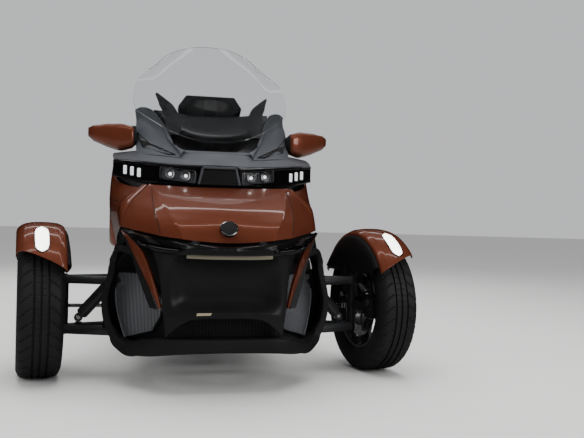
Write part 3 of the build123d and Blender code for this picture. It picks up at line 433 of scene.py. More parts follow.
def build_grain_group():
    """Fine moulded grain of a plastic panel."""
    tree, start, end = new_group("Moulded grain", {"Scale": 900.0}, ("Height", "Shade"))
    cells = texture(tree, "Voronoi")
    fine = texture(tree, "Noise", Detail=3.0)
    broad = texture(tree, "Noise", Scale=5.0, Detail=2.0)
    tree.links.new(start.outputs["Scale"], cells.inputs["Scale"])
    tree.links.new(math_node(tree, "MULTIPLY", start.outputs["Scale"], 0.6), fine.inputs["Scale"])
    height = math_node(tree, "ADD", cells.outputs["Distance"], fine.outputs["Fac"])
    tree.links.new(height, end.inputs["Height"])
    tree.links.new(broad.outputs["Fac"], end.inputs["Shade"])
    return tree


def build_dust_group():
    """Light dust that lies on what faces up, in loose patches."""
    tree, start, end = new_group("Showroom dust", {
        "Colour": (0.02, 0.02, 0.02, 1), "Dust": (0.35, 0.33, 0.3, 1), "Amount": 0.15, "Roughness": 0.4},
        ("Colour", "Roughness"))
    patches = texture(tree, "Noise", Scale=9.0, Detail=5.0)
    facing_up = node(tree, "ShaderNodeSeparateXYZ")
    tree.links.new(node(tree, "ShaderNodeNewGeometry").outputs["Normal"], facing_up.inputs[0])
    mask = math_node(tree, "MAXIMUM", facing_up.outputs["Z"], 0.0)
    mask = math_node(tree, "ADD", math_node(tree, "MULTIPLY", mask, 0.8), 0.2)
    mask = math_node(tree, "MULTIPLY", mask, patches.outputs["Fac"])
    mask = math_node(tree, "MULTIPLY", mask, start.outputs["Amount"], clamp=True)
    colour = mix_colour(tree, mask, start.outputs["Colour"], start.outputs["Dust"])
    tree.links.new(colour, end.inputs["Colour"])
    rougher = math_node(tree, "MULTIPLY", mask, 0.6)
    rough = math_node(tree, "ADD", start.outputs["Roughness"], rougher, clamp=True)
    tree.links.new(rough, end.inputs["Roughness"])
    return tree


def build_leather_group():
    """Pebbled leather with fine creases."""
    tree, start, end = new_group("Leather grain", {"Scale": 260.0}, ("Height", "Shade"))
    wobble = texture(tree, "Noise", Scale=40.0, Detail=2.0)
    cells = texture(tree, "Voronoi", feature="DISTANCE_TO_EDGE")
    tree.links.new(start.outputs["Scale"], cells.inputs["Scale"])
    ridge = math_node(tree, "MULTIPLY", cells.outputs["Distance"], 6.0)
    ridge = math_node(tree, "MINIMUM", ridge, 1.0)
    soft = math_node(tree, "MULTIPLY", wobble.outputs["Fac"], 0.4)
    tree.links.new(math_node(tree, "ADD", ridge, soft), end.inputs["Height"])
    tree.links.new(wobble.outputs["Fac"], end.inputs["Shade"])
    return tree


def use_group(tree, name, **values):
    return node(tree, "ShaderNodeGroup", node_tree=groups[name], **values)


def new_material(name, **values):
    """Node tree and shader of a new material, with these values on the shader's own sockets."""
    material = bpy.data.materials.new(name)
    material.use_nodes = True
    finishes[name] = material
    shader = material.node_tree.nodes["Principled BSDF"]
    for key, value in values.items():
        shader.inputs[key.replace("_", " ")].default_value = value
    return material.node_tree, shader


def finish(name, colour, roughness, dust, metallic=0.0, coat=0.0, specular=0.5, grain=0.0, grain_scale=900.0,
           leather=0.0, flake=None):
    """A material built from the shared effects, with its own values."""
    tree, shader = new_material(name, Metallic=metallic, Coat_Weight=coat, Specular_IOR_Level=specular)
    base = (*colour, 1)
    dirt = use_group(tree, "dust", Colour=base, Amount=dust, Roughness=roughness)
    height = None
    if flake:
        layer = use_group(tree, "flake", Colour=base, Bright_flake=(*flake, 1))
        tree.links.new(layer.outputs["Colour"], dirt.inputs["Colour"])
        height, strength, distance = layer.outputs["Height"], 0.06, 0.0006
    if grain:
        layer = use_group(tree, "grain", Scale=grain_scale)
        height, strength, distance = layer.outputs["Height"], grain, 0.0008
        lighter = (*(min(1, c * 1.5 + 0.004) for c in colour), 1)
        shade = math_node(tree, "MULTIPLY", layer.outputs["Shade"], 0.5)
        tree.links.new(mix_colour(tree, shade, base, lighter), dirt.inputs["Colour"])
    if leather:
        layer = use_group(tree, "leather")
        height, strength, distance = layer.outputs["Height"], leather, 0.0012
        lighter = (*(c * 1.7 for c in colour), 1)
        tree.links.new(mix_colour(tree, layer.outputs["Shade"], base, lighter), dirt.inputs["Colour"])
    tree.links.new(dirt.outputs["Colour"], shader.inputs["Base Color"])
    tree.links.new(dirt.outputs["Roughness"], shader.inputs["Roughness"])
    if height is not None:
        bump = node(tree, "ShaderNodeBump", Strength=strength, Distance=distance)
        tree.links.new(height, bump.inputs["Height"])
        tree.links.new(bump.outputs[0], shader.inputs["Normal"])


def clear(name, colour, roughness, ior):
    """See-through plastic or glass."""
    new_material(name, Base_Color=(*colour, 1), Roughness=roughness, IOR=ior, Transmission_Weight=1.0)


def lit(name, colour, strength, base):
    """A lamp surface that gives light, with the dots of its light guide."""
    tree, shader = new_material(name, Base_Color=(*base, 1), Roughness=0.2, Coat_Weight=0.8,
                                Emission_Strength=strength)
    dots = texture(tree, "Voronoi", Scale=140.0)
    share = math_node(tree, "MULTIPLY", dots.outputs["Distance"], 0.9, clamp=True)
    shade = mix_colour(tree, share, (*colour, 1), (*(c * 0.55 for c in colour), 1))
    tree.links.new(shade, shader.inputs["Emission Color"])


class RoadsterFinishes(PropertyGroup):
    paint: FloatVectorProperty(name="Body paint", description="Colour of the painted panels",
                               subtype="COLOR", default=(0.15, 0.036, 0.016), min=0, max=1)
    fairing: FloatVectorProperty(name="Upper fairing", description="Colour of the fairing round the screen",
                                 subtype="COLOR", default=(0.036, 0.040, 0.048), min=0, max=1)
    leather: FloatVectorProperty(name="Seat cover", description="Colour of the seats and backrest",
                                 subtype="COLOR", default=(0.009, 0.0085, 0.0085), min=0, max=1)
    # The nose strip is a real metal strip; its pale beige colour is a painted reflection of a light line
    # across the nose.
    strip: FloatVectorProperty(name="Nose strip", description="Colour of the metal strip across the nose",
                               subtype="COLOR", default=(0.30, 0.275, 0.205), min=0, max=1)


class RoadsterSizes(PropertyGroup):
    panel_wall: FloatProperty(name="Hood wall", description="Thickness of the painted hood",
                              default=0.004, min=0.002, max=0.008, unit="LENGTH")
    screen_wall: FloatProperty(name="Screen wall", description="Thickness of the clear screen",
                               default=0.0045, min=0.003, max=0.008, unit="LENGTH")
    tread_depth: FloatProperty(name="Tread depth", description="Depth of the tyres' grooves",
                               default=0.006, min=0.002, max=0.009, unit="LENGTH")
    tread_blocks: IntProperty(name="Tread blocks", description="Blocks round each tyre's shoulder",
                              default=36, min=20, max=60)
    grille_pitch: FloatProperty(name="Grille pitch", description="Distance between the upright wires",
                                default=0.0052, min=0.004, max=0.02, unit="LENGTH")


def sizes():
    return bpy.context.scene.roadster_sizes


class ROADSTER_OT_finishes(Operator):
    """Shader groups and every material of the roadster"""
    bl_idname = "roadster.finishes"
    bl_label = "Finishes"

    def execute(self, context):
        groups.update(flake=build_flake_group(), grain=build_grain_group(), dust=build_dust_group(),
                      leather=build_leather_group())
        chosen = context.scene.roadster_finishes
        bright = [min(1, c * 2.4 + 0.03) for c in chosen.paint]
        finish("brown_paint", chosen.paint, 0.32, 0.02, metallic=0.55, coat=0.65, specular=0.35, flake=bright)
        finish("fairing_grey", chosen.fairing, 0.48, 0.1, grain=0.12)
        finish("seat_cover", chosen.leather, 0.40, 0.02, leather=0.35)
        # Metal nose strip whose pale beige colour is a painted reflection.
        finish("strip_metal_painted_reflection", chosen.strip, 0.3, 0.04, metallic=0.85, coat=0.3)
        finish("gloss_black", (0.0025, 0.0025, 0.003), 0.14, 0.01, coat=0.6, specular=0.25)
        finish("bowl_black", (0.0028, 0.0028, 0.0032), 0.2, 0.01, coat=0.15, specular=0.25)
        finish("satin_black", (0.005, 0.005, 0.0056), 0.38, 0.04, grain=0.1, specular=0.22)
        finish("moulded_black", (0.005, 0.005, 0.0055), 0.5, 0.03, grain=0.3, grain_scale=700, specular=0.22)
        finish("mesh_black", (0.006, 0.006, 0.0065), 0.5, 0.06)
        # Near-black matte. It is plain black on seams, dials, shrouds and inner panels, and painted shade
        # where it stands in for the dark of holes, slots and vent openings.
        finish("vent_dark", (0.004, 0.004, 0.004), 0.8, 0.05)
        finish("frame_steel", (0.010, 0.010, 0.011), 0.38, 0.06, metallic=0.3, grain=0.08)
        finish("arm_coat", (0.018, 0.019, 0.021), 0.36, 0.06, coat=0.3, grain=0.06)
        finish("cast_metal", (0.09, 0.09, 0.09), 0.5, 0.15, metallic=0.9, grain=0.3, grain_scale=500)
        finish("bare_steel", (0.55, 0.55, 0.56), 0.25, 0.08, metallic=1.0)
        finish("wheel_metal", (0.035, 0.035, 0.038), 0.3, 0.05, metallic=0.7, coat=0.5)
        finish("tyre_rubber", (0.006, 0.006, 0.0064), 0.55, 0.06, grain=0.25, grain_scale=400, specular=0.25)
        finish("grip_rubber", (0.014, 0.014, 0.014), 0.6, 0.1, grain=0.3, grain_scale=600)
        finish("stitching", (0.16, 0.11, 0.08), 0.7, 0.05)
        finish("grey_trim", (0.10, 0.105, 0.11), 0.4, 0.08)
        finish("grille_wire", (0.36, 0.37, 0.40), 0.42, 0.05, metallic=0.3)
        finish("tag_metal", (0.42, 0.36, 0.24), 0.4, 0.03, metallic=0.25)
        finish("badge_metal", (0.35, 0.35, 0.36), 0.22, 0.02, metallic=1.0, coat=0.5)
        finish("radiator_core", (0.05, 0.05, 0.052), 0.45, 0.2, metallic=0.8, grain=0.4, grain_scale=300)
        finish("spring_steel", (0.03, 0.03, 0.032), 0.3, 0.08, coat=0.6)
        finish("mirror_glass", (0.75, 0.77, 0.78), 0.02, 0.01, metallic=1.0)
        finish("tail_red", (0.35, 0.006, 0.006), 0.12, 0.02, coat=1.0)
        finish("amber_lens", (0.6, 0.18, 0.01), 0.12, 0.02, coat=1.0)
        finish("reflector", (0.22, 0.22, 0.23), 0.12, 0.02, metallic=1.0)
        finish("plate_blank", (0.62, 0.62, 0.6), 0.35, 0.06, coat=0.3)
        clear("clear_screen", (0.90, 0.92, 0.93), 0.02, ior=1.14)
        clear("smoked_lens", (0.20, 0.21, 0.23), 0.03, ior=1.3)
        clear("clear_lens", (0.92, 0.94, 0.95), 0.02, ior=1.2)
        lit("lamp_white", (1.0, 0.98, 0.93), 6.0, base=(0.9, 0.9, 0.9))
        lit("lamp_dim", (0.95, 0.97, 1.0), 0.9, base=(0.45, 0.46, 0.48))
        lit("lamp_spot", (1.0, 0.98, 0.94), 3.0, base=(0.9, 0.9, 0.9))
        return {"FINISHED"}


FLOOR_RADIUS = 45
CAMERA_PLACE = (-0.314, -3.8885, 0.631)
CAMERA_YAW, CAMERA_PITCH, CAMERA_ROLL = radians(12.03), radians(0.27), radians(1.28)
# Place, aim, size, power and whether paint mirrors the light
LIGHTS = {
    "overhead": ((0.0, -0.9, 4.2), (0.0, -0.6, 0.6), (4.2, 4.6), 190, False),
    "front_left": ((3.6, -4.8, 2.6), (0.2, -0.8, 0.6), (2.4, 2.4), 95, True),
    "front_right": ((-4.6, -3.6, 2.2), (-0.2, -0.8, 0.6), (2.0, 2.6), 75, False),
    "rear": ((0.0, 4.2, 3.2), (0.0, 0.5, 0.8), (4.0, 1.6), 80, False),
    "strip_front": ((0.0, -1.35, 3.2), (0.0, -1.35, 0), (4.6, 0.16), 9, True),
    "strip_middle": ((0.0, 0.5, 3.2), (0.0, 0.5, 0), (4.6, 0.20), 12, True),
    "strip_back": ((0.0, 2.3, 3.2), (0.0, 2.3, 0), (4.6, 0.30), 14, True),
}


class ROADSTER_OT_stage(Operator):
    """Pale floor, soft studio lights and the camera at the photograph's angle"""
    bl_idname = "roadster.stage"
    bl_label = "Stage"

    def execute(self, context):
        scene = context.scene
        c, s = around(np.arange(64), 64)
        mesh = bpy.data.meshes.new("floor")
        mesh.from_pydata([(x, y, 0) for x, y in zip(FLOOR_RADIUS * c, FLOOR_RADIUS * s)], [], [range(64)])
        tree, shader = new_material("pale_floor_with_painted_reflection", Roughness=0.55)
        # Painted reflection: the floor stays pale to the camera but turns dark where paint and glass mirror
        # it, standing in for a dark floor in the reflections.
        painted_reflection_switch = node(tree, "ShaderNodeLightPath").outputs["Is Glossy Ray"]
        shade = mix_colour(tree, painted_reflection_switch, (0.84, 0.83, 0.81, 1), (0.24, 0.23, 0.22, 1))
        tree.links.new(shade, shader.inputs["Base Color"])
        mesh.materials.append(finishes["pale_floor_with_painted_reflection"])
        floor = bpy.data.objects.new("floor", mesh)
        scene.collection.objects.link(floor)
        world = bpy.data.worlds.new("studio")
        world.use_nodes = True
        background = world.node_tree.nodes["Background"]
        background.inputs[0].default_value = (0.90, 0.91, 0.93, 1)
        background.inputs[1].default_value = 0.72
        scene.world = world
        world.cycles_visibility.glossy = False
        for name, (place, target, size, power, in_mirrors) in LIGHTS.items():
            light = bpy.data.lights.new(name, "AREA")
            light.shape = "RECTANGLE"
            light.size, light.size_y = size
            light.energy = power
            lamp = bpy.data.objects.new(name, light)
            lamp.location = place
            lamp.rotation_euler = (Vector(target) - Vector(place)).to_track_quat("-Z", "Y").to_euler()
            lamp.visible_glossy = in_mirrors
            lamp.visible_transmission = False
            scene.collection.objects.link(lamp)
        lens = bpy.data.cameras.new("camera")
        lens.sensor_width = 36
        lens.lens = 44.45
        lens.clip_end = 60
        camera = bpy.data.objects.new("camera", lens)
        level = Vector((cos(CAMERA_YAW), -sin(CAMERA_YAW), 0))
        ahead = Vector((sin(CAMERA_YAW) * cos(CAMERA_PITCH), cos(CAMERA_YAW) * cos(CAMERA_PITCH),
                        sin(CAMERA_PITCH)))
        upright = level.cross(ahead)
        right = level * cos(CAMERA_ROLL) + upright * sin(CAMERA_ROLL)
        up = upright * cos(CAMERA_ROLL) - level * sin(CAMERA_ROLL)
        turn = Matrix((right, up, -ahead)).transposed().to_4x4()
        camera.matrix_world = Matrix.Translation(CAMERA_PLACE) @ turn
        scene.collection.objects.link(camera)
        scene.camera = camera
        return {"FINISHED"}


# Front body: tables hold half the rows, from the middle out to the left
HOOD_ROWS = [
    [(0, -490, 552), (80, -496, 556), (160, -499, 564), (236, -449, 573), (373, -248, 601)],
    [(0, -482, 596), (85, -478, 598), (178, -471, 607), (243, -425, 608), (370, -230, 632)],
    [(0, -428, 648), (95, -417, 649), (212, -393, 657), (256, -358, 655), (350, -196, 680)],
    [(0, -300, 711), (110, -295, 710), (240, -285, 710), (264, -261, 708), (315, -165, 728)],
    [(0, -134, 762), (95, -136, 762), (252, -146, 766), (265, -140, 767), (274, -134, 770)],
]
BAND_ROWS = [
    [(0, -506, 541), (80, -512, 546), (160, -515, 553), (274, -440, 567), (378, -262, 590)],
    [(0, -540, 528), (80, -540, 530), (156, -536, 534), (262, -448, 546), (352, -308, 572)],
    [(0, -536, 508), (80, -536, 508), (153, -528, 511), (240, -448, 516), (305, -362, 528)],
]
CENTRE_ROWS = [
    [(0, -526, 506.2), (80, -524, 506.2), (150, -514, 508), (205, -462, 510), (262, -392, 516)],
    [(0, -440, 470), (80, -440, 470), (150, -442, 472), (206, -440, 474), (246, -398, 470)],
    [(0, -400, 400), (80, -402, 400), (150, -408, 400), (205, -428, 400), (232, -412, 398)],
    [(0, -408, 340), (80, -408, 340), (150, -412, 338), (205, -430, 330), (226, -420, 322)],
    [(0, -452, 304), (80, -452, 304), (140, -450, 302), (200, -438, 286), (218, -428, 268)],
    [(0, -456, 282), (80, -456, 282), (128, -452, 276), (180, -440, 244), (212, -430, 214)],
]
IN_HOOD = (0, -100, 420)
IN_NOSE = (0, -100, 480)


class ROADSTER_OT_hood(Operator):
    """Painted hood with its side creases, shut lines and a blank badge"""
    bl_idname = "roadster.hood"
    bl_label = "Hood"

    def execute(self, context):
        rows = surface(mirrored(HOOD_ROWS), 8, 8, column_creases=(1, 2, 6, 7))
        skin = Shape().sheet(rows, IN_HOOD)
        skin.make("hood_skin", "brown_paint", "brown_paint", "hood", "hood",
                  wall=sizes().panel_wall * 1000, bevel=1.6)
        seams = Shape()
        lifted = rows + outward(rows, IN_HOOD) * 0.2
        for column in (8, -9):
            seams.tube(lifted[2:-1, column], 1.3, 6)
        seams.make("hood_shut_lines", "vent_dark", "black_satin", "hood")
        badge = Shape()
        place, out = (0, -480, 602), (0, -0.78, 0.62)
        badge.lathe([(-4, 33), (4, 33), (6, 32), (7, 30), (6.2, 28.5), (5, 28)], place, out, 64)
        badge.lathe([(0, 28.5), (5.2, 28.5), (6.4, 16), (6.8, 0)], place, out, 64, slot=1)
        badge.make("blank_badge", "badge_metal satin_black", "black_gloss", "hood")
        hinges = Shape()
        for x in (120, -120):
            hinges.tube([(x - 9.7, -502, 552), (x + 9.7, -502, 552)], 5.8, 16)
            hinges.box((x - 9.5, -498, 551), (x + 9.5, -494, 560))
        hinges.make("hood_hinge_eyes", "frame_steel", "frame_steel", "hood", bevel=0.6)
        return {"FINISHED"}


# Each station: y, then (x, z) from the top edge down
SIDE_STATIONS = [
    (-70, (298, 756), (392, 690), (386, 596)),
    (132, (414, 807), (434, 700), (404, 550)),
    (250, (424, 890), (438, 700), (408, 530)),
    (420, (404, 900), (438, 690), (400, 500)),
    (640, (300, 820), (410, 650), (370, 470)),
    (860, (206, 760), (330, 610), (320, 450)),
]
LOWER_SIDE_STATIONS = [
    (130, (396, 540), (420, 430), (360, 250)),
    (330, (392, 510), (412, 400), (330, 190)),
    (610, (366, 466), (360, 380), (280, 190)),
]
SHOULDER_EDGES = [
    [(373, -248, 601), (370, -230, 632), (350, -196, 680), (315, -165, 728), (280, -134, 768)],
    [(382, -88, 598), (388, -84, 640), (392, -76, 690), (350, -72, 728), (300, -74, 757)],
]
INNER_EDGES = [
    [(410, 136, 800), (420, 250, 884), (400, 420, 894), (297, 640, 814), (210, 850, 752)],
    [(222, 136, 742), (216, 250, 748), (213, 420, 742), (211, 640, 716), (205, 850, 690)],
]
COWL_LINE = [(-290, -6, 0), (-180, -60, 0), (-84, -100, 0), (84, -100, 0), (180, -60, 0), (290, -6, 0)]
SEAT_SIDE_ROWS = [
    [(192, 1012, 668), (208, 1120, 672), (212, 1280, 674), (207, 1450, 676)],
    [(203, 1010, 620), (213, 1130, 618), (216, 1290, 625), (207, 1450, 634)],
    [(204, 1022, 560), (212, 1140, 552), (214, 1290, 566), (206, 1446, 588)],
    [(202, 1046, 502), (206, 1150, 500), (207, 1290, 512), (204, 1436, 546)],
]
SEAM_SHARE = 0.44


def cross_sections(stations):
    return [[(x, y, z) for x, z in points] for y, *points in stations]


class ROADSTER_OT_sides(Operator):
    """Side panels with their shoulders beside the hood, lower side panels and the covers behind them"""
    bl_idname = "roadster.sides"
    bl_label = "Side panels"

    def execute(self, context):
        inside = (0, 400, 600)
        table = cross_sections(SIDE_STATIONS)
        table[-1] = [(x, y - 0.36 * (760 - z), z) for x, y, z in table[-1]]
        rows = surface(table, 10, 7)
        edge, front = np.array(SHOULDER_EDGES, float)
        shoulder = [edge + (3, 13, -1), blend(edge, front, 0.45) + (9, 2, 5), front + (0, 6, 0)]
        skin = Shape().sheet(rows, inside).sheet(surface(shoulder, 7, 8), (0, 300, 560)).both()
        skin.make("side_panel_skins", "brown_paint", "brown_paint", replaces="side_panels", wall=4,
                  bevel=1.6, smooth=45)
        lower = Shape().sheet(surface(cross_sections(LOWER_SIDE_STATIONS), 10, 8), (0, 400, 380)).both()
        lower.make("lower_side_skins", "moulded_black", "black_satin", replaces="lower_side_panels",
                   wall=4, bevel=1.6)
        edge, foot = np.array(INNER_EDGES, float)
        walls = surface([edge, blend(edge, foot, 0.5) - (0, 0, 16), foot])
        inner = Shape().sheet(walls, (0, 400, 300)).both().box((-72, 470, 868), (72, 640, 872))
        cowl = np.array(COWL_LINE, float)
        inner.sheet([cowl + (0, 6, 690), cowl + (0, 0, 774)], (0, 300, 700), slot=1)
        inner.make("inner_body_panels", "moulded_black vent_dark", "black_satin", wall=3)
        cover = Shape().sheet(surface(SEAT_SIDE_ROWS, 8, 6), (0, 1200, 580)).both()
        cover.make("seat_side_panels", "fairing_grey", "grey_paint", wall=3, bevel=1.5)
        pan = Shape().box((-188, 1020, 596), (188, 1400, 668))
        pan.make("seat_pan", "moulded_black", "black_satin", bevel=6)
        # Painted shade: dark strokes lying on the panel stand in for its recessed slots.
        slots = Shape()
        lift = outward(rows, inside)
        for k in range(4):
            v = 0.60 + 0.055 * k
            shares = np.linspace(0.42 + 0.02 * k, 0.62 - 0.01 * k, 8)
            slots.tube([at(rows, u, v) + nearest(lift, u, v) * 0.6 for u in shares], 3.4, 8)
        slots.both().make("side_panel_slots", "vent_dark", "black_mesh")
        seam = [at(rows, u, SEAM_SHARE) + nearest(lift, u, SEAM_SHARE) * 0.1
                for u in np.linspace(0.03, 0.97, 36)]
        Shape().tube(seam, 1.3, 6).both().make("side_panel_seams", "vent_dark", "black_satin")
        return {"FINISHED"}


DAYLIGHT_LINE = [(158, -536.5, 524), (205, -505, 527), (262, -452, 534), (318, -366, 550)]


class ROADSTER_OT_nose(Operator):
    """Gloss band across the nose with its metal strip, pale beige as a painted reflection, and daylight
    lenses, and the centre panel below
    """
    bl_idname = "roadster.nose"
    bl_label = "Nose band and centre panel"

    def execute(self, context):
        band = Shape().sheet(surface(mirrored(BAND_ROWS), 8, 6, (2, 6), (1,)), IN_NOSE)
        band.make("nose_band_skin", "bowl_black", "black_gloss", replaces="nose_band", wall=11, bevel=2)
        hinges = Shape().tube([(105, -502, 552), (135, -502, 552)], 2.9, 12)
        for x in (107.5, 132.5):
            hinges.box((x - 2.5, -514, 546), (x + 2.5, -500, 553))
        hinges.both().make("hood_hinge_pins", "frame_steel", "frame_steel")
        edge = curve(mirrored([HOOD_ROWS[0]])[0], 8)
        filler = Shape().sheet([edge * (0.965, 0.965, 1) + (0, -2, 14), edge * (0.955, 0.955, 1) - (0, 0, 6),
                                edge * (0.93, 0.95, 1) - (0, 0, 46)], IN_NOSE)
        filler.make("nose_inner_panel", "vent_dark", "black_satin", wall=3)
        # Metal strip across the nose, pale beige as a painted reflection.
        line = curve(mirrored([[(0, -538.5, 504), (80, -538, 504.5), (150, -530, 507)]])[0], 10)
        section = ((0, -7), (-1.5, -2), (-1.5, 4), (1, 7), (14, 7), (14, -7))
        strip = Shape().loft([[(x, y + deep, z + rise) for deep, rise in section] for x, y, z in line])
        strip.make("nose_strip", "strip_metal_painted_reflection", "black_gloss", bevel=0.8)
        path = curve(DAYLIGHT_LINE, 8)
        out = unit(np.cross(unit(np.gradient(path, axis=0)), Z_AXIS))
        high = (5 + 8 * np.sin(np.linspace(0, 1, len(path)) * pi) ** 0.7)[:, None] * Z_AXIS
        section = ((0, -1), (2.5, -0.5), (2.8, 0.5), (0, 1), (-3, 1), (-3, -1))
        lens = Shape().loft(np.stack([path + out * forward + high * share for forward, share in section], 1))
        lens.both().make("daylight_lenses", "smoked_lens", "lamp_lens", bevel=0.8)
        lamps = Shape()
        for side in SIDES:
            lamps.tube((path[3:-3] + out[3:-3] * 1.2 + (0, 0, 3)) * (side, 1, 1), 2.2, 8)
        lamps.make("daylight_lamps", "reflector", "lamp_lens")
        inside = (0, 0, 350)
        rows = surface(mirrored(CENTRE_ROWS), 8, 7, row_creases=(4,))
        centre = Shape().sheet(rows, inside)
        centre.make("centre_panel_skin", "satin_black", "black_satin", replaces="centre_panel", wall=4,
                    bevel=2)
        corners = np.array([at(rows, u, v) for u, v in
                            ((0.815, 0.326), (0.815, 0.422), (0.895, 0.412), (0.895, 0.316))])
        away = nearest(outward(rows, inside), 0.85, 0.37)
        tag = Shape().loft([corners - away * 1.5, corners + away * 2.2])
        tag.make("blank_tag", "tag_metal", "black_gloss", bevel=0.5)
        return {"FINISHED"}


BLADE_OUTER = [(378.6, -253.2, 589), (352, -276, 548), (334, -306, 512), (290, -352, 425), (236, -414, 314)]
BLADE_INNER = [(374, -262, 588), (330, -330, 552), (300, -370, 517), (262, -396, 425), (231, -424, 316)]
BLADE_SHADOW = [(352, -272, 560), (322, -304, 500), (296, -338, 425), (252, -392, 312)]


class ROADSTER_OT_blades(Operator):
    """Painted blades that drop from the nose band's ends"""
    bl_idname = "roadster.blades"
    bl_label = "Cheek blades"

    def execute(self, context):
        offsets = ((16, 6, 2), (-12, -8, -2), (-12, 4, -2), (16, 18, 2))
        strip = Shape().loft([[p + offset for offset in offsets] for p in curve(BLADE_SHADOW)]).both()
        strip.make("blade_shadow_strips", "satin_black", "black_satin", bevel=1.5)
        outer, inner = curve(BLADE_OUTER), curve(BLADE_INNER)
        ridge = blend(outer, inner, 0.48) - (0, 5, 2)
        back = (-7, 15, 1)
        blades = Shape().loft(np.stack([outer, ridge, inner, inner + back, outer + back], axis=1)).both()
        blades.make("cheek_blade_skins", "brown_paint", "brown_paint", replaces="cheek_blades", bevel=1.5,
                    smooth=30)
        return {"FINISHED"}


GRILLE_OUTLINE = [(396.4, -96, 424), (272, -150, 424), (212, -290, 322), (222, -300, 268), (252, -240, 210),
                  (360.5, -128, 170), (400, -104, 316)]
# Path of the ring's half, with its width and depth
FASCIA_RING = [
    (290, -322, 482, 16, 36), (332, -262, 506, 24, 60), (372, -192, 510, 28, 84),
    (396, -160, 482, 28, 100), (412, -152, 415, 26, 106), (431, -150, 316, 26, 106),
    (414, -156, 225, 28, 106), (380, -170, 172, 36, 104), (338, -222, 150, 42, 92),
    (285, -305, 160, 46, 80), (205, -398, 178, 58, 70), (120, -405, 180, 53, 70), (0, -405, 180, 50, 70),
]
SHROUD_OUTLINE = [(214, 500), (300, 512), (372, 508), (398, 470), (410, 400), (424, 316), (404, 210),
                  (352, 160), (262, 168), (196, 188)]


def plane_through(points):
    """Function y of x and z for the flat plane nearest to the points."""
    p = np.asarray(points, float)
    k = np.linalg.lstsq(np.c_[p[:, 0], p[:, 2], np.ones(len(p))], p[:, 1], rcond=None)[0]
    return lambda x, z: k[0] * x + k[1] * z + k[2]


def crossings(outline, level, along, read):
    """Values of one coordinate where a flat outline crosses a level of another, in order."""
    cuts = []
    for a, b in zip(outline, outline[1:] + outline[:1]):
        if (a[along] - level) * (b[along] - level) < 0:
            cuts.append(a[read] + (b[read] - a[read]) * (level - a[along]) / (b[along] - a[along]))
    return sorted(cuts)


class ROADSTER_OT_fascia(Operator):
    """Lower fascia ring, its bottom lip, both grilles with the radiators behind, and the slot mesh"""
    bl_idname = "roadster.fascia"
    bl_label = "Lower fascia and grilles"

    def execute(self, context):
        path, size = path_and_sizes(FASCIA_RING)
        path = np.concatenate([path, path[-2::-1] * (-1, 1, 1)])
        size = np.concatenate([size, size[-2::-1]])
        ring = Shape().sweep(path, size[:, 0], size[:, 1], corner=0.22)
        y_at = plane_through(GRILLE_OUTLINE)
        shroud = Shape().loft([[(x, y_at(x, z) + back, z) for x, z in SHROUD_OUTLINE]
                               for back in (16, 20)]).both()
        for side in SIDES:
            ring.bar((side * 150, -374, 186), (side * 150, -219, 196), 24, 18)
            ring.bar((side * 392, -160, 500), (side * 357.5, -245, 572), 16, 44)
            shroud.bar((side * 405, -94, 440), (side * 423, -94, 200), 40, 5, up=Y_AXIS)
        ring.make("fascia_ring", "moulded_black", "black_satin", replaces="lower_fascia", smooth=50)
        shroud.make("radiator_shrouds", "vent_dark", "black_mesh")
        mesh = Shape()
        pitch = sizes().grille_pitch * 1000
        x = 212 + pitch
        while x < 398:
            ends = crossings(GRILLE_OUTLINE, x, 0, 2)
            if ends and ends[-1] - ends[0] > 16:
                heights = np.arange(ends[0] + 3, ends[-1] - 1, 5.5)
                mesh.tube([(x + 0.9 * (-1) ** k, y_at(x, z), z) for k, z in enumerate(heights)], 1.25, 4)
            x += pitch
        section = ((2, -0.8), (2, 0.8), (5, 0.8), (5, -0.8))
        for z in np.arange(182, 420, 34.0):
            ends = crossings(GRILLE_OUTLINE, z, 2, 0)
            mesh.loft([[(x, y_at(x, z) + deep, z + rise) for deep, rise in section]
                       for x in (ends[0] + 2, ends[-1] - 2)], slot=1)
        edge = [(x, y_at(x, z) + 1, z) for x, _, z in GRILLE_OUTLINE]
        mesh.tube(curve(edge + edge[:1], 2, creases=range(1, 7)), 4.5, 8, slot=1)
        line = [(x - 7, y_at(x - 7, z) - 5, z) for x, _, z in np.array(GRILLE_OUTLINE)[[0, 6, 5]]]
        mesh.tube(curve(line), 2.6, 8, slot=2).both()
        mesh.make("grille_bars", "grille_wire moulded_black grille_wire", "black_mesh",
                  replaces="radiator_grilles")
        core = Shape().loft([[(x * 0.98, y_at(x, z) + back, z) for x, _, z in GRILLE_OUTLINE]
                             for back in (30, 64)]).both()
        core.make("radiator_cores", "radiator_core", "cast_metal", bevel=3)
        slot = Shape()
        for z in np.arange(214, 300, 8.0):
            slot.bar((-196, -396, z), (196, -396, z), 1.6, 2.4, corner=0.6, steps=1)
        for x in np.arange(-192, 193, 12.0):
            slot.bar((x, -394, 208), (x, -394, 302), 1.6, 2.4, corner=0.6, steps=1, up=Y_AXIS)
        # Painted shade: a dark box behind the slot mesh stands in for the opening behind it.
        slot.box((-212, -388, 200), (212, -382, 330), slot=1)
        for side in SIDES:
            slot.bar((side * 150, -383, 230), (side * 150, -218, 212), 20, 12, slot=1)
        slot.make("slot_mesh", "mesh_black vent_dark", "black_mesh")
        return {"FINISHED"}


# Each station of the lamp panel: x, front, bottom, top, depth
LAMP_STATIONS = [(0, -124, 770, 850, 90), (84, -124, 770, 846, 90), (180, -84, 770, 850, 100),
                 (290, -30, 776, 862, 110), (422, 66, 808, 876, 60)]


def lamp_front(x):
    """Point halfway up the lamp panel's front at x."""
    stations = np.array(LAMP_STATIONS, float).T
    y, low, high = (np.interp(abs(x), stations[0], column) for column in stations[1:4])
    return np.array((x, y, (low + high) / 2))


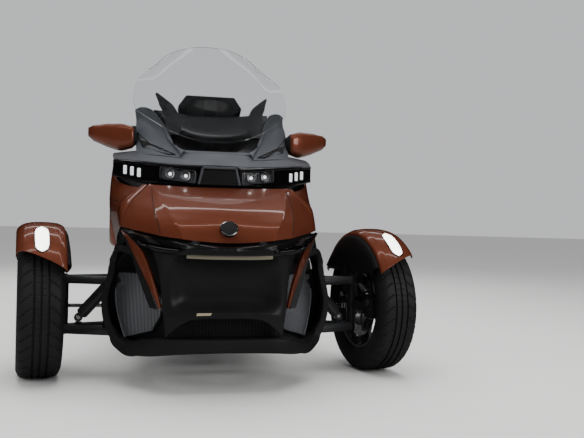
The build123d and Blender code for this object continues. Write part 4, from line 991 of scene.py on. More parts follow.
class ROADSTER_OT_lamps(Operator):
    """Lamp panel with its centre vent, twin headlamps and three upright lamps at each end"""
    bl_idname = "roadster.lamps"
    bl_label = "Lamp panel"

    def execute(self, context):
        stations = np.array([(-x, *rest) for x, *rest in LAMP_STATIONS[:0:-1]] + LAMP_STATIONS, float)
        dense = [np.linspace(a, b, 6, endpoint=False) for a, b in zip(stations, stations[1:])]
        rings = []
        for x, y, low, high, depth in np.concatenate(dense + [stations[-1:]]):
            rings.append([(x, y + 3, low), (x, y - 1, low + 4), (x, y - 1, low + 8), (x, y + 5, low + 10),
                          (x, y + 5, high - 9), (x, y - 2, high - 7), (x, y - 2, high - 3), (x, y, high),
                          (x, y + depth, high), (x, y + depth, low)])
        panel = Shape().loft(rings)
        panel.make("lamp_panel_body", "gloss_black", "black_gloss", replaces="lamp_panel", bevel=1.2)
        vent = Shape()
        surround = [(-82, -127, 775), (-66, -127, 842), (66, -127, 842), (82, -127, 775)]
        for a, b, width in zip(surround, surround[1:], (7, 14, 7)):
            vent.bar(a, b, width, 10, corner=2)
        for z in np.arange(778, 832, 7.0):
            reach = 78 - (z - 775) / 67 * 16
            vent.bar((-reach, -125.5, z), (reach, -125.5, z), 2, 5, corner=0.8, slot=1)
        # Painted shade: a dark plate behind the slats stands in for the vent opening.
        vent.box((-76, -122.5, 776), (76, -120, 838), slot=2)
        vent.make("lamp_panel_vent", "fairing_grey mesh_black vent_dark", "grey_paint", bevel=0.8)
        modules, glass, bright = Shape(), Shape(), Shape()
        for side in SIDES:
            a, b = lamp_front(side * 90), lamp_front(side * 236)
            run, middle = unit(b - a), (a + b) / 2
            reach = np.linalg.norm(b - a) / 2
            out = unit(np.cross(run, Z_AXIS)) * side
            across = run + Z_AXIS * 6 / reach
            ring = rounded_box_ring(2 * reach - 8, 50, 9)
            headlamp = (middle, across, Z_AXIS, out)
            modules.loft(set_out(ring, ((1, -4), (1, 3), (0.97, 3.4), (0.95, -2)), *headlamp), caps=False)
            modules.loft(set_out(ring, ((0.92, -3.5), (0.92, -2.5)), *headlamp), slot=1)
            glass.loft(set_out(ring, ((0.985, 3.6), (0.98, 5.6), (0.94, 6.6)), *headlamp))
            for k in SIDES:
                centre = middle + across * k * reach * 0.42
                bowl = [(-3, 21), (2.4, 21), (2.6, 19.5), (-1.5, 15), (-2.4, 9), (-2.4, 0)]
                modules.lathe(bowl, centre, out, 40, slot=2)
                bright.lathe([(-2.2, 6.5), (0.2, 6), (1.9, 4), (2.4, 0)], centre, out, 28)
            face = rounded_box_ring(15, 36, 3, 2)
            for x, drop in ((372, 0), (344, 1), (316, 3)):
                spot = (lamp_front(side * x) - (0, 0, drop), run, Z_AXIS, out)
                bright.loft(set_out(face, ((1, -6), (1, 0.5), (0.8, 1.6)), *spot), slot=1)
                modules.loft(set_out(face, ((1.35, -6), (1.3, 0.2), (1.05, 0.2)), *spot), slot=1, caps=False)
        modules.make("headlamp_modules", "grey_trim gloss_black reflector", "black_gloss")
        glass.make("headlamp_glass", "clear_lens", "lamp_lens", replaces="headlamp_lenses")
        bright.make("headlamp_lights", "lamp_spot lamp_dim", "lamp_lens")
        return {"FINISHED"}


FAIRING_ROWS = [
    [(0, -110, 853.6), (90, -112, 851.6), (190, -72, 855.6), (292, -20, 866.6), (420, 72, 880.6)],
    [(0, -66, 882), (95, -62, 874), (190, -16, 882), (300, 54, 896), (426, 132, 898)],
    [(0, -18, 908), (110, -14, 908), (188, 28, 922), (300, 112, 924), (424, 192, 914)],
]
WING_ROWS = [
    [(150, -30, 886), (200, 0, 893), (262, 40, 900), (328, 92, 906)],
    [(172, 30, 938), (224, 66, 944), (282, 106, 952), (332, 150, 952)],
    [(204, 104, 1016), (244, 138, 1030), (288, 172, 1042), (333, 222, 1040)],
    [(228, 176, 1064), (262, 206, 1078), (300, 240, 1086), (334, 282, 1080)],
    [(264, 262, 1118), (290, 280, 1130), (316, 296, 1132), (340, 318, 1122)],
]
COLLAR_EDGES = [
    [(132, -7, 914), (165, 15, 931), (220, 105, 998), (253, 220, 1083), (262, 262, 1110)],
    [(148, -26, 892), (172, 30, 938), (204, 104, 1016), (229, 176, 1064), (265, 262, 1118)],
]
LIP_ROWS = [
    [(0, -19, 907), (70, -18, 907), (134, -12, 910)],
    [(0, -7, 918.5), (70, -7, 918.5), (132, -4, 920)],
]
BOWL_ROWS = [
    [(0, -8, 916), (70, -8, 916), (128, -6, 918), (162, 16, 934)],
    [(0, 90, 948), (90, 88, 952), (160, 84, 966), (217, 105, 1001)],
    [(0, 230, 1020), (100, 226, 1026), (180, 216, 1048), (250, 220, 1086)],
    [(0, 322, 1110), (90, 320, 1112), (180, 300, 1120), (258, 282, 1122)],
]
SCREEN_ROWS = [
    [(0, 22, 962), (100, 26, 972), (186, 58, 1004), (264, 136, 1056), (338, 240, 1112)],
    [(0, 115, 1080), (110, 124, 1085), (205, 158, 1105), (290, 225, 1140), (348, 300, 1185)],
    [(0, 205, 1215), (110, 214, 1216), (210, 240, 1222), (290, 300, 1235), (335, 352, 1260)],
    [(0, 320, 1345), (105, 328, 1343), (200, 358, 1338), (262, 400, 1330), (292, 432, 1325)],
    [(0, 450, 1460), (95, 455, 1452), (170, 475, 1430), (215, 498, 1405), (240, 515, 1375)],
]
# Corners of the fairing's vents as shares of the wing, down and across
VENT_SHARES = ((0.40, 0.95), (0.25, 0.62), (0.05, 0.10), (0.04, 0.32), (0.17, 0.82))
# Paths with the width of the screen's arms, and with half the depth and height of the mirror pods
ARM_STATIONS = [(176, 62, 988, 34), (176, 134, 1062, 66), (206, 204, 1138, 58), (246, 248, 1192, 12)]
POD_STATIONS = [(327.4, 170, 982, 30, 28), (348, 176, 982, 52, 46), (400, 204, 984, 62, 57),
                (460, 238, 994, 60, 48), (515, 268, 1004, 48, 33), (537, 280, 1009, 24, 19)]
BINNACLE_OUTLINE = [(-136, 1110), (-146, 1158), (-112, 1207), (112, 1207), (146, 1158), (136, 1110),
                    (80, 1080), (-80, 1080)]
DIAL_OUTLINE = [(28, 1112), (104, 1116), (110, 1150), (82, 1186), (28, 1186)]
BINNACLE_Y, BINNACLE_Z = 325.5, 1143.5


def binnacle_ring(share, back):
    return [(x * share, BINNACLE_Y + back, blend(BINNACLE_Z, z, share) - 0.25 * back)
            for x, z in BINNACLE_OUTLINE]


class ROADSTER_OT_upper(Operator):
    """Matt upper fairing, dash bowl, screen with its arms, and the instrument binnacle"""
    bl_idname = "roadster.upper"
    bl_label = "Upper fairing and screen"

    def execute(self, context):
        rim, foot = np.array(COLLAR_EDGES, float)
        wing = surface(WING_ROWS, 7, 7)
        collar = surface([rim, blend(rim, foot, 0.5) + (3, -4, 2), foot], 6, 4)
        inside = (0, 400, 800)
        fairing = Shape().sheet(surface(mirrored(FAIRING_ROWS), 8, 6, (2, 6)), (0, 200, 600))
        fairing.sheet([curve(row, 4) for row in mirrored(LIP_ROWS)], (0, 300, 800))
        for side in SIDES:
            fairing.sheet(wing * (side, 1, 1), inside)
            fairing.sheet(collar * (side, 1, 1), (0, 300, 800))
        fairing.make("upper_fairing_skin", "fairing_grey", "grey_paint", replaces="upper_fairing", wall=4,
                     bevel=1.8)
        vents = Shape()
        up = outward(wing, inside)
        for side in SIDES:
            corners = np.array([at(wing, u, v) for u, v in VENT_SHARES]) * (side, 1, 1)
            lift = np.array([at(up, u, v) for u, v in VENT_SHARES]) * (side, 1, 1)
            # Painted shade: a dark plate under the slats stands in for the vent opening.
            vents.loft([corners - lift * 2, corners + lift * 0.7], slot=1)
            for share in np.arange(1, 10) / 10:
                a = blend(corners[0], corners[2], share)
                if 0.3 < share < 0.6:
                    a = blend(a, corners[1], 0.5)
                b = blend(corners[0], corners[3 if share > 0.5 else 4], share)
                vents.bar(a + lift[0] * 1.2, b + lift[0] * 1.2, 1.6, 2.2, corner=0.5, steps=1, slot=2)
            edge = corners + lift * 0.8
            vents.tube(curve(np.vstack([edge, edge[:1]]), 3, creases=(1, 2, 3, 4)), 1.8, 6)
        vents.make("fairing_vents", "gloss_black vent_dark grey_trim", "black_mesh")
        bowl = Shape().sheet(surface(mirrored(BOWL_ROWS), 8, 8), (0, 500, 700))
        bowl.make("dash_bowl_skin", "bowl_black", "black_gloss", replaces="dash_bowl", wall=4, bevel=1.2)
        screen = Shape().sheet(surface(mirrored(SCREEN_ROWS), 8, 8), (0, 600, 1000))
        screen.make("screen", "clear_screen", "clear_screen", replaces="windshield",
                    wall=sizes().screen_wall * 1000, bevel=1.2, bevel_steps=3)
        line, widths = path_and_sizes(ARM_STATIONS)
        rings = [[(x - half, y, z), (x, y - 1, z + 3), (x + half, y + 10, z), (x + half, y + 20, z - 4),
                  (x - half, y + 12, z - 4)] for (x, y, z), half in zip(line, widths[:, 0] / 2)]
        arms = Shape().loft(rings).both()
        arms.make("screen_arms", "bowl_black", "black_gloss", replaces="windshield_arms", bevel=1.5)
        box = Shape().loft([binnacle_ring(share, back) for share, back in
                            ((0.9, 0), (0.97, 4), (1, 12), (1, 66), (0.97, 70), (0.9, 70), (0.88, 64))])
        for side in SIDES:
            box.loft([[(side * x, y, z) for x, z in DIAL_OUTLINE] for y in (324.6, 327)], slot=1)
        box.box((-98, 389.5, 1092), (98, 391.5, 1176), slot=2)
        box.make("binnacle", "bowl_black vent_dark gloss_black", "black_gloss",
                 replaces="instrument_binnacle", bevel=1.5)
        return {"FINISHED"}


POD_SIDES = 36
POD_SQUARENESS = 0.62
COLLAR_RINGS = 4


class ROADSTER_OT_mirrors(Operator):
    """Painted mirror pods with their collars and glass"""
    bl_idname = "roadster.mirrors"
    bl_label = "Mirror pods"

    def execute(self, context):
        line, size = path_and_sizes(POD_STATIONS)
        circle = around(np.arange(POD_SIDES), POD_SIDES)
        wide, tall = np.sign(circle) * np.abs(circle) ** POD_SQUARENESS
        rings = [np.c_[np.full(POD_SIDES, x), y + depth * wide, z + height * tall]
                 for (x, y, z), (depth, height) in zip(line, size)]
        collar_faces = COLLAR_RINGS * POD_SIDES
        skin_faces = (len(rings) - 1) * POD_SIDES - collar_faces
        pods = Shape().loft(rings, slot=[1] * collar_faces + [0] * skin_faces + [1, 0]).both()
        pods.make("mirror_pod_skins", "brown_paint satin_black", "brown_paint", replaces="mirror_pods",
                  smooth=50)
        face = rounded_box_ring(130, 68, 20)
        placed = ((425, 284, 992), np.array((0.87, 0.49, 0)), Z_AXIS, np.array((-0.49, 0.87, 0)))
        glass = Shape().loft(set_out(face, ((1.06, -8), (1.06, 0), (1, 1.5)), *placed), slot=1, caps=False)
        glass.loft(set_out(face, ((1, -1), (1, 0.5)), *placed))
        glass.both().make("mirror_glasses", "mirror_glass satin_black", "black_satin")
        return {"FINISHED"}


# Wheels and what turns with them
STEPS_PER_BLOCK = 20
SIPE_SLANT = 0.34
BEAD_RADIUS = 190
REAR_TYRE_WIDTH = 225
TYRES = (("front_left_tyre", "front_wheel_left", FRONT_RADIUS, 165, LEFT_HUB, 1),
         ("front_right_tyre", "front_wheel_right", FRONT_RADIUS, 165, RIGHT_HUB, -1),
         ("rear_tyre", "rear_wheel", REAR_RADIUS, REAR_TYRE_WIDTH, REAR_HUB, 0))


class ROADSTER_OT_tyres(Operator):
    """Three tyres with grooves, slanted sipes and ribbed sidewalls"""
    bl_idname = "roadster.tyres"
    bl_label = "Tyres"

    def execute(self, context):
        depth = sizes().tread_depth * 1000
        steps = np.arange(sizes().tread_blocks * STEPS_PER_BLOCK)
        c, s = around(steps, len(steps))
        for name, body, radius, width, centre, side in TYRES:
            half = width / 2
            shoulder = half - 26
            shares = (-0.6, -0.2, 0.2, 0.6) if width == REAR_TYRE_WIDTH else (-0.44, 0, 0.46)
            grooves = [share * shoulder for share in shares]
            xs = [-shoulder, 8 - shoulder, shoulder - 8, shoulder, *np.linspace(-shoulder, shoulder, 13)]
            xs += [g + step for g in grooves for step in (-4.2, -3.4, 3.4, 4.2)]
            middle = (radius + BEAD_RADIUS) / 2 + 8
            wall = [(half - 20, 190), (half - 12, 193), (half - 6, 202), (half - 3, 216),
                    (half - 1, middle - 14), (half - 0.2, middle), (half - 1.5, middle + 9),
                    (half - 4, radius - 24), (half - 6, radius - 20), (half - 9, radius - 13),
                    (half - 15, radius - 7), (half - 21, radius - 3.6)]
            crown = [(x, radius - 2.2 * (x / shoulder) ** 2) for x in sorted({round(x, 1) for x in xs})]
            profile = np.array([(-x, r) for x, r in wall] + crown + wall[::-1])
            x, height = profile.T[:, :, None]
            off_middle = np.abs(x)
            from_grooves = np.min([np.abs(x - g) for g in grooves], axis=0)
            step = steps + np.rint(off_middle * SIPE_SLANT).astype(int)
            gaps = step % STEPS_PER_BLOCK < 2
            sipes = step % (STEPS_PER_BLOCK // 2) < 1
            blocks = (off_middle > abs(grooves[0]) + 5) & (height > radius - 22)
            between = (off_middle <= shoulder + 0.01) & ~blocks & (from_grooves > 8)
            ribs = (height > 200) & (height < radius - 30) & (np.abs(height - middle) < 12)
            r = height - depth * ((from_grooves < 3.5) + 0.75 * (blocks & gaps) + 0.5 * (between & sipes))
            r = r + 0.3 * (ribs & (steps % 2 == 0))
            points = np.stack([x + 0 * r, -r * c, r * s], axis=2) + centre
            points = steered(points, side) if side else points
            shape = Shape().sheet(points, closed=True)
            shape.make(name + "_tread", "tyre_rubber", "tyre", body, name, smooth=32)
        return {"FINISHED"}


RIMS = (("front_left_rim", "front_wheel_left", 127, LEFT_HUB, 1, -1),
        ("front_right_rim", "front_wheel_right", 127, RIGHT_HUB, -1, 1),
        ("rear_rim", "rear_wheel", 178, REAR_HUB, 0, -1))
HUB_RADIUS = 36
SPOKE_REACH = 177


def spoke_rings(outer_x, inner_x, turn, lean):
    """Rings of one spoke that runs out from the hub and dishes inwards."""
    rings = []
    for share in np.linspace(0, 1, 9):
        angle = turn + lean * share
        along, across = np.array([(0, cos(angle), sin(angle)), (0, -sin(angle), cos(angle))])
        x = blend(outer_x, inner_x, (1 - share) ** 1.5)
        face = rounded_box_ring(34 - 16 * sin(share * pi) ** 0.8 + 8 * share, 30 - 12 * share, 6, 2)
        rings += set_out(face, ((1, 0),), (x, 0, 0) + along * blend(HUB_RADIUS, SPOKE_REACH, share),
                         across, X_AXIS, along)
    return rings


def at_hub(x, radius, turn):
    return x, radius * cos(turn), radius * sin(turn)


class ROADSTER_OT_rims(Operator):
    """Spoked wheels with brake discs and wheel bolts"""
    bl_idname = "roadster.rims"
    bl_label = "Rims and discs"

    def execute(self, context):
        for name, body, width, centre, side, disc in RIMS:
            half = width / 2
            wheel = Shape()
            edge = [(half - 18, 187), (half - 14, 189.6), (half - 3, 189.6), (half + 1, 188), (half, 176),
                    (half - 16, 173)]
            wheel.lathe(edge + [(-x, r) for x, r in edge[::-1]], steps=96, closed=True)
            face_x = -disc * (half - 38)
            for k in range(6):
                for lean in (-0.16, 0.16):
                    wheel.loft(spoke_rings(face_x - disc * 6, face_x, k * pi / 3 + 0.1, lean))
            low, high = min(disc * 55, face_x - 12), max(disc * 55, face_x + 12)
            wheel.lathe([(low, 18), (low, 42), (high - 8, 44), (high, 40), (high, 18)], closed=True)
            cap_x = face_x - disc * 13
            cap = [(0, 24), (-disc * 4, 23), (-disc * 6, 18), (-disc * 6.4, 0)]
            wheel.lathe(cap, (cap_x, 0, 0), steps=32, slot=2)
            for k in range(4):
                bolt = [(0, 5), (-disc * 5, 5), (-disc * 6, 3.6), (-disc * 6, 0)]
                wheel.lathe(bolt, at_hub(cap_x + disc * 2, 33, k * pi / 2 + 0.4), steps=6, slot=1)
            wheel.sleeve(disc * 49, disc * 55, 92, 135, steps=72, slot=1)
            for k in range(6):
                foot, head = at_hub(disc * 52, 38, k * pi / 3), at_hub(disc * 52, 95, k * pi / 3 + 0.3)
                wheel.bar(foot, head, 12, 5, corner=2, up=X_AXIS)
            # Painted shade: thin dark discs on both disc faces stand in for the drilled holes.
            for k in range(48):
                for x in (disc * 48.9, disc * 55.1):
                    hole = at_hub(x, (102, 113, 124)[k % 3], k * 2 * pi / 48)
                    wheel.lathe([(-0.15, 3.2), (0.15, 3.2)], hole, steps=10, slot=3)
            if not side:
                wheel.sleeve(120, 146, 60, 105, steps=72)
                wheel.lathe([(50, 42), (121, 42), (121, 66), (140, 66), (140, 20), (50, 20)], closed=True)
            wheel.moved(lambda p: steered(p + centre, side) if side else p + centre)
            wheel.make(name + "_wheel", "wheel_metal bare_steel badge_metal vent_dark", "wheel_metal", body,
                       name, smooth=35)
        return {"FINISHED"}


FENDER_SECTION = [(-1, 0), (-0.93, 0.5), (-0.72, 0.84), (-0.35, 0.98), (0, 1), (0.33, 0.96), (0.65, 0.75),
                  (0.91, 0.2), (1, -0.5)]


def fender_point(side, share, height, angle, lift=0.0):
    """Point of a fender's shell at a share across, a height in its section and an angle round the wheel."""
    radius = 302 + 28 * height + lift
    return (side * (HALF_TRACK + share * 90), -radius * cos(radians(angle)),
            FRONT_RADIUS + radius * sin(radians(angle)))


class ROADSTER_OT_fenders(Operator):
    """Painted front fenders with their lamps and black inner guards"""
    bl_idname = "roadster.fenders"
    bl_label = "Fenders"

    def execute(self, context):
        section = curve([(*point, 0) for point in FENDER_SECTION], 5, creases=(2,))[:, :2]
        for side, hub in zip(SIDES, (LEFT_HUB, RIGHT_HUB)):
            name, body = "fender_" + SIDE_NAME[side], "steering_" + SIDE_NAME[side]
            rows, lining = [], []
            for share in np.linspace(0, 1, 49):
                rows.append([fender_point(side, u, h, blend(38.5 + 8.5 * u, 148 - 6 * u, share))
                             for u, h in section])
                lining.append([fender_point(side, u * 0.955, h - 0.19,
                                            blend(45.5 + 8.5 * u, 149.5 - 5.5 * u, share))
                               for u, h in section])
            skin = Shape().sheet(rows, hub).sheet(lining, hub, slot=1).moved(lambda p: steered(p, side))
            skin.make(name + "_skin", "brown_paint moulded_black", "brown_paint", body, name, wall=4,
                      bevel=1.5)
            rows = []
            for angle in np.radians(np.linspace(36, 148, 33)):
                row = []
                for share in (0, 0.03, 0.1, 0.25, 0.5, 0.75, 1):
                    radius = blend(301, 140 / sin(angle), share)
                    row.append((side * (601 - 15 * sin(pi * share ** 0.6)), -radius * cos(angle),
                                FRONT_RADIUS + radius * sin(angle)))
                rows.append(row)
            guard = Shape().sheet(rows, hub).moved(lambda p: steered(p, side))
            guard.make(name + "_guard", "moulded_black", "black_satin", body, wall=4, bevel=1.2)
            lamp, housing = Shape(), Shape()
            for shape, grow, low, high, slot in ((lamp, 0, 1, 5.5, 0), (housing, 3.5, -0.5, 2.6, 1)):
                section_lifts = ((-1, low), (-0.96, high * 0.7), (-0.8, high), (0, high + 0.8), (0.8, high),
                                 (0.96, high * 0.7), (1, low))
                rings = []
                for share in np.linspace(0, 1, 15):
                    half = (3 + 22 * (1 - abs(2 * share - 1) ** 4) ** 0.5 + grow) / 90
                    angle = 42.5 + 26 * share + (share - 0.5) * grow * 0.35
                    rings.append([fender_point(side, u * half, 1, angle, lift) for u, lift in section_lifts])
                shape.loft(rings, slot).moved(lambda p: steered(p, side))
            lamp_name = "fender_lamp_" + SIDE_NAME[side]
            lamp.make(lamp_name + "_light", "lamp_white badge_metal", "lamp_lens", body, lamp_name, smooth=50)
            housing.make(lamp_name + "_rim", "badge_metal badge_metal", "black_gloss", body, smooth=50)
        return {"FINISHED"}


UPPER_ARM_Z, LOWER_ARM_Z = 385, 187
DAMPER_FOOT, DAMPER_HEAD = np.array([(540, 0, 232), (318, 0, 486)], float)
COIL_TURNS = 6
COIL_STEPS = 24


class ROADSTER_OT_suspension(Operator):
    """Suspension arms, dampers with springs, and the bolts and boots on the knuckles"""
    bl_idname = "roadster.suspension"
    bl_label = "Suspension"

    def execute(self, context):
        arms = Shape()
        for z, radius in ((UPPER_ARM_Z, 17), (LOWER_ARM_Z, 20)):
            for y in (-110, 110):
                path = curve([(203, y, z), (300, y * 0.98, z), (420, y * 0.62, z), (592, y * 0.10, z)])
                arms.tube(path, radius, 16)
                arms.sleeve(-20, 20, 12, 21, (206, y, z), Y_AXIS, 24)
            ball = [(-22, 10), (-20, 17), (-8, 20), (8, 20), (18, 16), (22, 8)]
            arms.lathe(ball, (598, 0, z), Z_AXIS, 24, slot=1)
        arms.bar((380, -58, UPPER_ARM_Z), (380, 58, UPPER_ARM_Z), 18, 12)
        arms.bar((330, -70, LOWER_ARM_Z), (330, 70, LOWER_ARM_Z), 24, 14)
        arms.bar((540, 0, LOWER_ARM_Z + 8), (540, 0, 213), 26, 24, up=Y_AXIS)
        arms.both().make("arms", "arm_coat frame_steel", "frame_steel", replaces="suspension_arms", smooth=45)
        dampers = Shape()
        along = unit(DAMPER_HEAD - DAMPER_FOOT)
        reach = np.linalg.norm(DAMPER_HEAD - DAMPER_FOOT)
        tube = [(14, 8), (14, 21), (24, 24), (190, 24), (196, 28), (204, 28), (204, 10)]
        dampers.lathe(tube, DAMPER_FOOT, along, 28)
        dampers.lathe([(200, 8), (reach - 18, 8)], DAMPER_FOOT, along, 16, slot=1)
        seat = [(reach - 40, 24), (reach - 40, 29), (reach - 30, 29), (reach - 24, 18), (reach - 16, 14)]
        dampers.lathe(seat, DAMPER_FOOT, along, 28)
        level = np.cross(along, Y_AXIS)
        coil = []
        for k in range(COIL_STEPS * COIL_TURNS + 1):
            c, s = around(k, COIL_STEPS)
            rise = 206 + (reach - 250) * k / (COIL_STEPS * COIL_TURNS)
            coil.append(DAMPER_FOOT + along * rise + level * 24 * c + Y_AXIS * 24 * s)
        dampers.tube(coil, 4.2, 8, slot=2)
        for place in (DAMPER_FOOT, DAMPER_HEAD):
            dampers.sleeve(-13, 13, 8, 17, place, Y_AXIS, 24)
            dampers.lathe([(-15, 7), (15, 7)], place, Y_AXIS, 12, slot=1)
        dampers.both().make("dampers", "arm_coat bare_steel spring_steel", "spring_steel",
                            replaces="front_shocks", smooth=40)
        for side in SIDES:
            detail = Shape()
            face_x, inwards = side * (HALF_TRACK - 74), (-side, 0, 0)
            for y in (-140, -106):
                detail.lathe([(0, 6), (4, 6), (5, 4), (5, 0)], (face_x, y, FRONT_RADIUS), inwards, 12)
            piston = [(0, 15), (6, 15), (8, 12), (8, 0)]
            detail.lathe(piston, (face_x, -122, FRONT_RADIUS + 18), inwards, 24, slot=1)
            boot = [(-6, 13), (0, 17), (9, 19), (22, 12), (26, 7), (30, 7)]
            detail.lathe(boot, (side * KINGPIN_X, 0, 206), Z_AXIS, 24, slot=1)
            rod_end = [(0, 9), (6, 11), (14, 11), (18, 6), (18, 0)]
            detail.lathe(rod_end, (side * KINGPIN_X, 95, 306), Z_AXIS, 16)
            detail.moved(lambda p: steered(p, side))
            detail.make(f"knuckle_{SIDE_NAME[side]}_fittings", "bare_steel grip_rubber", "frame_steel",
                        "steering_" + SIDE_NAME[side], smooth=40)
        return {"FINISHED"}


# Soft pieces
SHIFT = AXLE_TO_MIDDLE / 1000
SEAT_SPLIT = 1.3851
CLOTH_FRAMES = 20
CHANNEL_HALF_WIDTH = 0.006


def bake(piece):
    """The piece's modifiers are applied."""
    view = bpy.context.evaluated_depsgraph_get()
    mesh = bpy.data.meshes.new_from_object(piece.evaluated_get(view), depsgraph=view)
    piece.modifiers.clear()
    piece.data = mesh


def read_vertices(mesh, key):
    """Places or normals of a mesh's vertices as rows."""
    flat = np.empty(len(mesh.vertices) * 3)
    mesh.vertices.foreach_get(key, flat)
    return flat.reshape(-1, 3)


def swell(piece, most):
    """Places of the piece's points after air pressure has swollen it, by no more than this."""
    start = read_vertices(piece.data, "co")
    cloth = piece.modifiers.new("Air", "CLOTH").settings
    cloth.quality = 5
    cloth.use_pressure = True
    cloth.uniform_pressure_force = 4
    cloth.effector_weights.gravity = 0
    scene = bpy.context.scene
    for step in range(1, CLOTH_FRAMES + 1):
        scene.frame_set(step)
    bake(piece)
    scene.frame_set(1)
    move = read_vertices(piece.data, "co") - start
    reach = np.maximum(np.linalg.norm(move, axis=1, keepdims=True), 1e-9)
    return start + move * np.minimum(1, most / 1000 / reach)


def cushion(name, source, shrink, most, limit, channels, voxel=8):
    """Padded piece: the solid it stands for, drawn in, then swollen by air pressure under its cover.

    Each channel: the axis it is placed on, its place, its two ends, its depth and the axis it sinks along.
    """
    piece = bpy.data.objects.new(name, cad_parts[source].data.copy())
    bpy.context.scene.collection.objects.link(piece)
    remesh = piece.modifiers.new("Even mesh", "REMESH")
    remesh.mode = "VOXEL"
    remesh.voxel_size = voxel / 1000
    smoother = piece.modifiers.new("Soften", "SMOOTH")
    smoother.factor, smoother.iterations = 0.5, 10
    inwards = piece.modifiers.new("Draw in", "DISPLACE")
    inwards.strength, inwards.mid_level = -shrink / 1000, 0
    bake(piece)
    points = limit(swell(piece, most))
    normal = read_vertices(piece.data, "normal")
    for along, place, low, high, depth, face in channels:
        other = 3 - along - face
        near = np.exp(-((points[:, along] - place) / CHANNEL_HALF_WIDTH) ** 2)
        inside = (points[:, other] > low) & (points[:, other] < high) & (np.abs(normal[:, face]) > 0.4)
        points[:, face] -= np.sign(normal[:, face]) * near * depth * inside
    piece.data.vertices.foreach_set("co", points.ravel())
    piece.data.update()
    piece.data.materials.clear()
    piece.data.materials.append(finishes["seat_cover"])
    piece.data.shade_smooth()
    rounder = piece.modifiers.new("Smooth", "SUBSURF")
    rounder.levels = rounder.render_levels = 1
    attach(piece, "chassis")
    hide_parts(source)
    return piece


def seat_limit(points):
    """Rider's and passenger's seats stay apart and between their neighbours."""
    y = points[:, 1] + SHIFT
    rider = y < SEAT_SPLIT
    y = np.clip(y, np.where(rider, 1.0318, 1.3858), np.where(rider, 1.3846, 1.691))
    return np.c_[np.clip(points[:, 0], -0.209, 0.209), y - SHIFT, points[:, 2]]


def back_limit(points):
    return np.c_[points[:, 0], np.clip(points[:, 1], 1.6955 - SHIFT, 1.7606 - SHIFT), points[:, 2]]


def laid_on(piece, points, direction=DOWN, lift=0.0):
    """Points dropped along a direction onto a piece; points and result in millimetres."""
    tree = BVHTree.FromPolygons([v.co[:] for v in piece.data.vertices],
                                [f.vertices[:] for f in piece.data.polygons])
    found = []
    for point in points:
        origin = (np.asarray(point, float) - (0, AXLE_TO_MIDDLE, 0)) / 1000
        hit = tree.ray_cast(Vector(origin), Vector(direction))[0]
        if hit is not None:
            found.append(np.array(hit) * 1000 + (0, AXLE_TO_MIDDLE, 0) - np.multiply(direction, lift))
    return np.array(found)


def stitch_line(threads, line, pitch=7.0):
    """Short threads in a row beside a seam."""
    runs = np.r_[0, np.cumsum(np.linalg.norm(np.diff(line, axis=0), axis=1))]
    for run in np.arange(2, runs[-1] - pitch, pitch):
        ends = [np.array([np.interp(place, runs, column) for column in line.T])
                for place in (run, run + pitch * 0.62)]
        threads.bar(*ends, 1.3, 1.1, corner=0.3, steps=1)


class ROADSTER_OT_seats(Operator):
    """Swollen rider and passenger seats and backrest, with sewn channels, piping and stitches"""
    bl_idname = "roadster.seats"
    bl_label = "Seats and backrest"

    def execute(self, context):
        crosswise = ((1245, 125), (1315, 125), (1500, 120), (1590, 120))
        lengthwise = ((1120, 1345), (1420, 1670))
        ribs = (990, 1050, 1110)
        channels = [(1, y / 1000 - SHIFT, -half / 1000, half / 1000, 0.006, 2) for y, half in crosswise]
        channels += [(0, side * 0.128, a / 1000 - SHIFT, b / 1000 - SHIFT, 0.006, 2)
                     for side in SIDES for a, b in lengthwise]
        seats = cushion("seat_cushions", "seats", 12, 20, seat_limit, channels)
        back = cushion("backrest_cushion", "backrest", 7, 16, back_limit,
                       [(2, z / 1000, -0.11, 0.11, 0.005, 1) for z in ribs], voxel=6)
        threads, piping = Shape(), Shape()
        for y, half in crosswise:
            xs = np.linspace(-half, half, 30)
            piping.tube(laid_on(seats, [(x, y, 1200) for x in xs], lift=0.4), 1.5, 6)
            for offset in (-9, 9):
                stitch_line(threads, laid_on(seats, [(x, y + offset, 1200) for x in xs]))
        for side in SIDES:
            for ends in lengthwise:
                ys = np.linspace(*ends, 30)
                piping.tube(laid_on(seats, [(side * 128, y, 1200) for y in ys], lift=0.3), 1.5, 6)
                stitch_line(threads, laid_on(seats, [(side * 136, y, 1200) for y in ys], lift=0.3))
        xs = np.linspace(-108, 108, 26)
        for z in ribs:
            piping.tube(laid_on(back, [(x, 1600, z) for x in xs], Y_AXIS, 0.3), 1.5, 6)
            stitch_line(threads, laid_on(back, [(x, 1600, z + 8) for x in xs], Y_AXIS))
        piping.make("seat_piping", "seat_cover", "seat_cover")
        threads.make("seat_stitches", "stitching", "seat_cover")
        return {"FINISHED"}


# Cases: outlines of (y, z) seen from the side
CASE_OUTLINE = [(1470, 560), (1560, 452), (2110, 452), (2236, 560), (2250, 760), (2160, 826), (1540, 832),
                (1462, 760)]
CASE_MIDDLE = np.array((1860.0, 645.0))
# Rings of (x, inset) through a side case's lid, its inner and outer skin, and through its tub
LID_INSIDE = ((478, 84), (477, 66), (472, 44), (462, 28), (444, 16), (412, 10), (408, 9))
LID_OUTSIDE = ((408, 1), (410, 0), (450, 5), (468, 15), (480, 32), (486, 54), (484.5, 62), (484.5, 90))
TUB_RINGS = ((218, 26), (224, 14), (236, 6), (260, 2), (390, 1), (396, 5), (402, 6), (402, 12), (398, 13),
             (262, 13), (242, 18), (232, 30), (230, 44))
TOP_CASE_MIDDLE = np.array((2015.0, 1128.0))
TOP_CASE_STATIONS = [(200, 1), (246, 0.992), (272, 0.975), (286, 0.945), (292, 0.90)]
TOP_CASE_INSIDE_WIDTH = 0.972
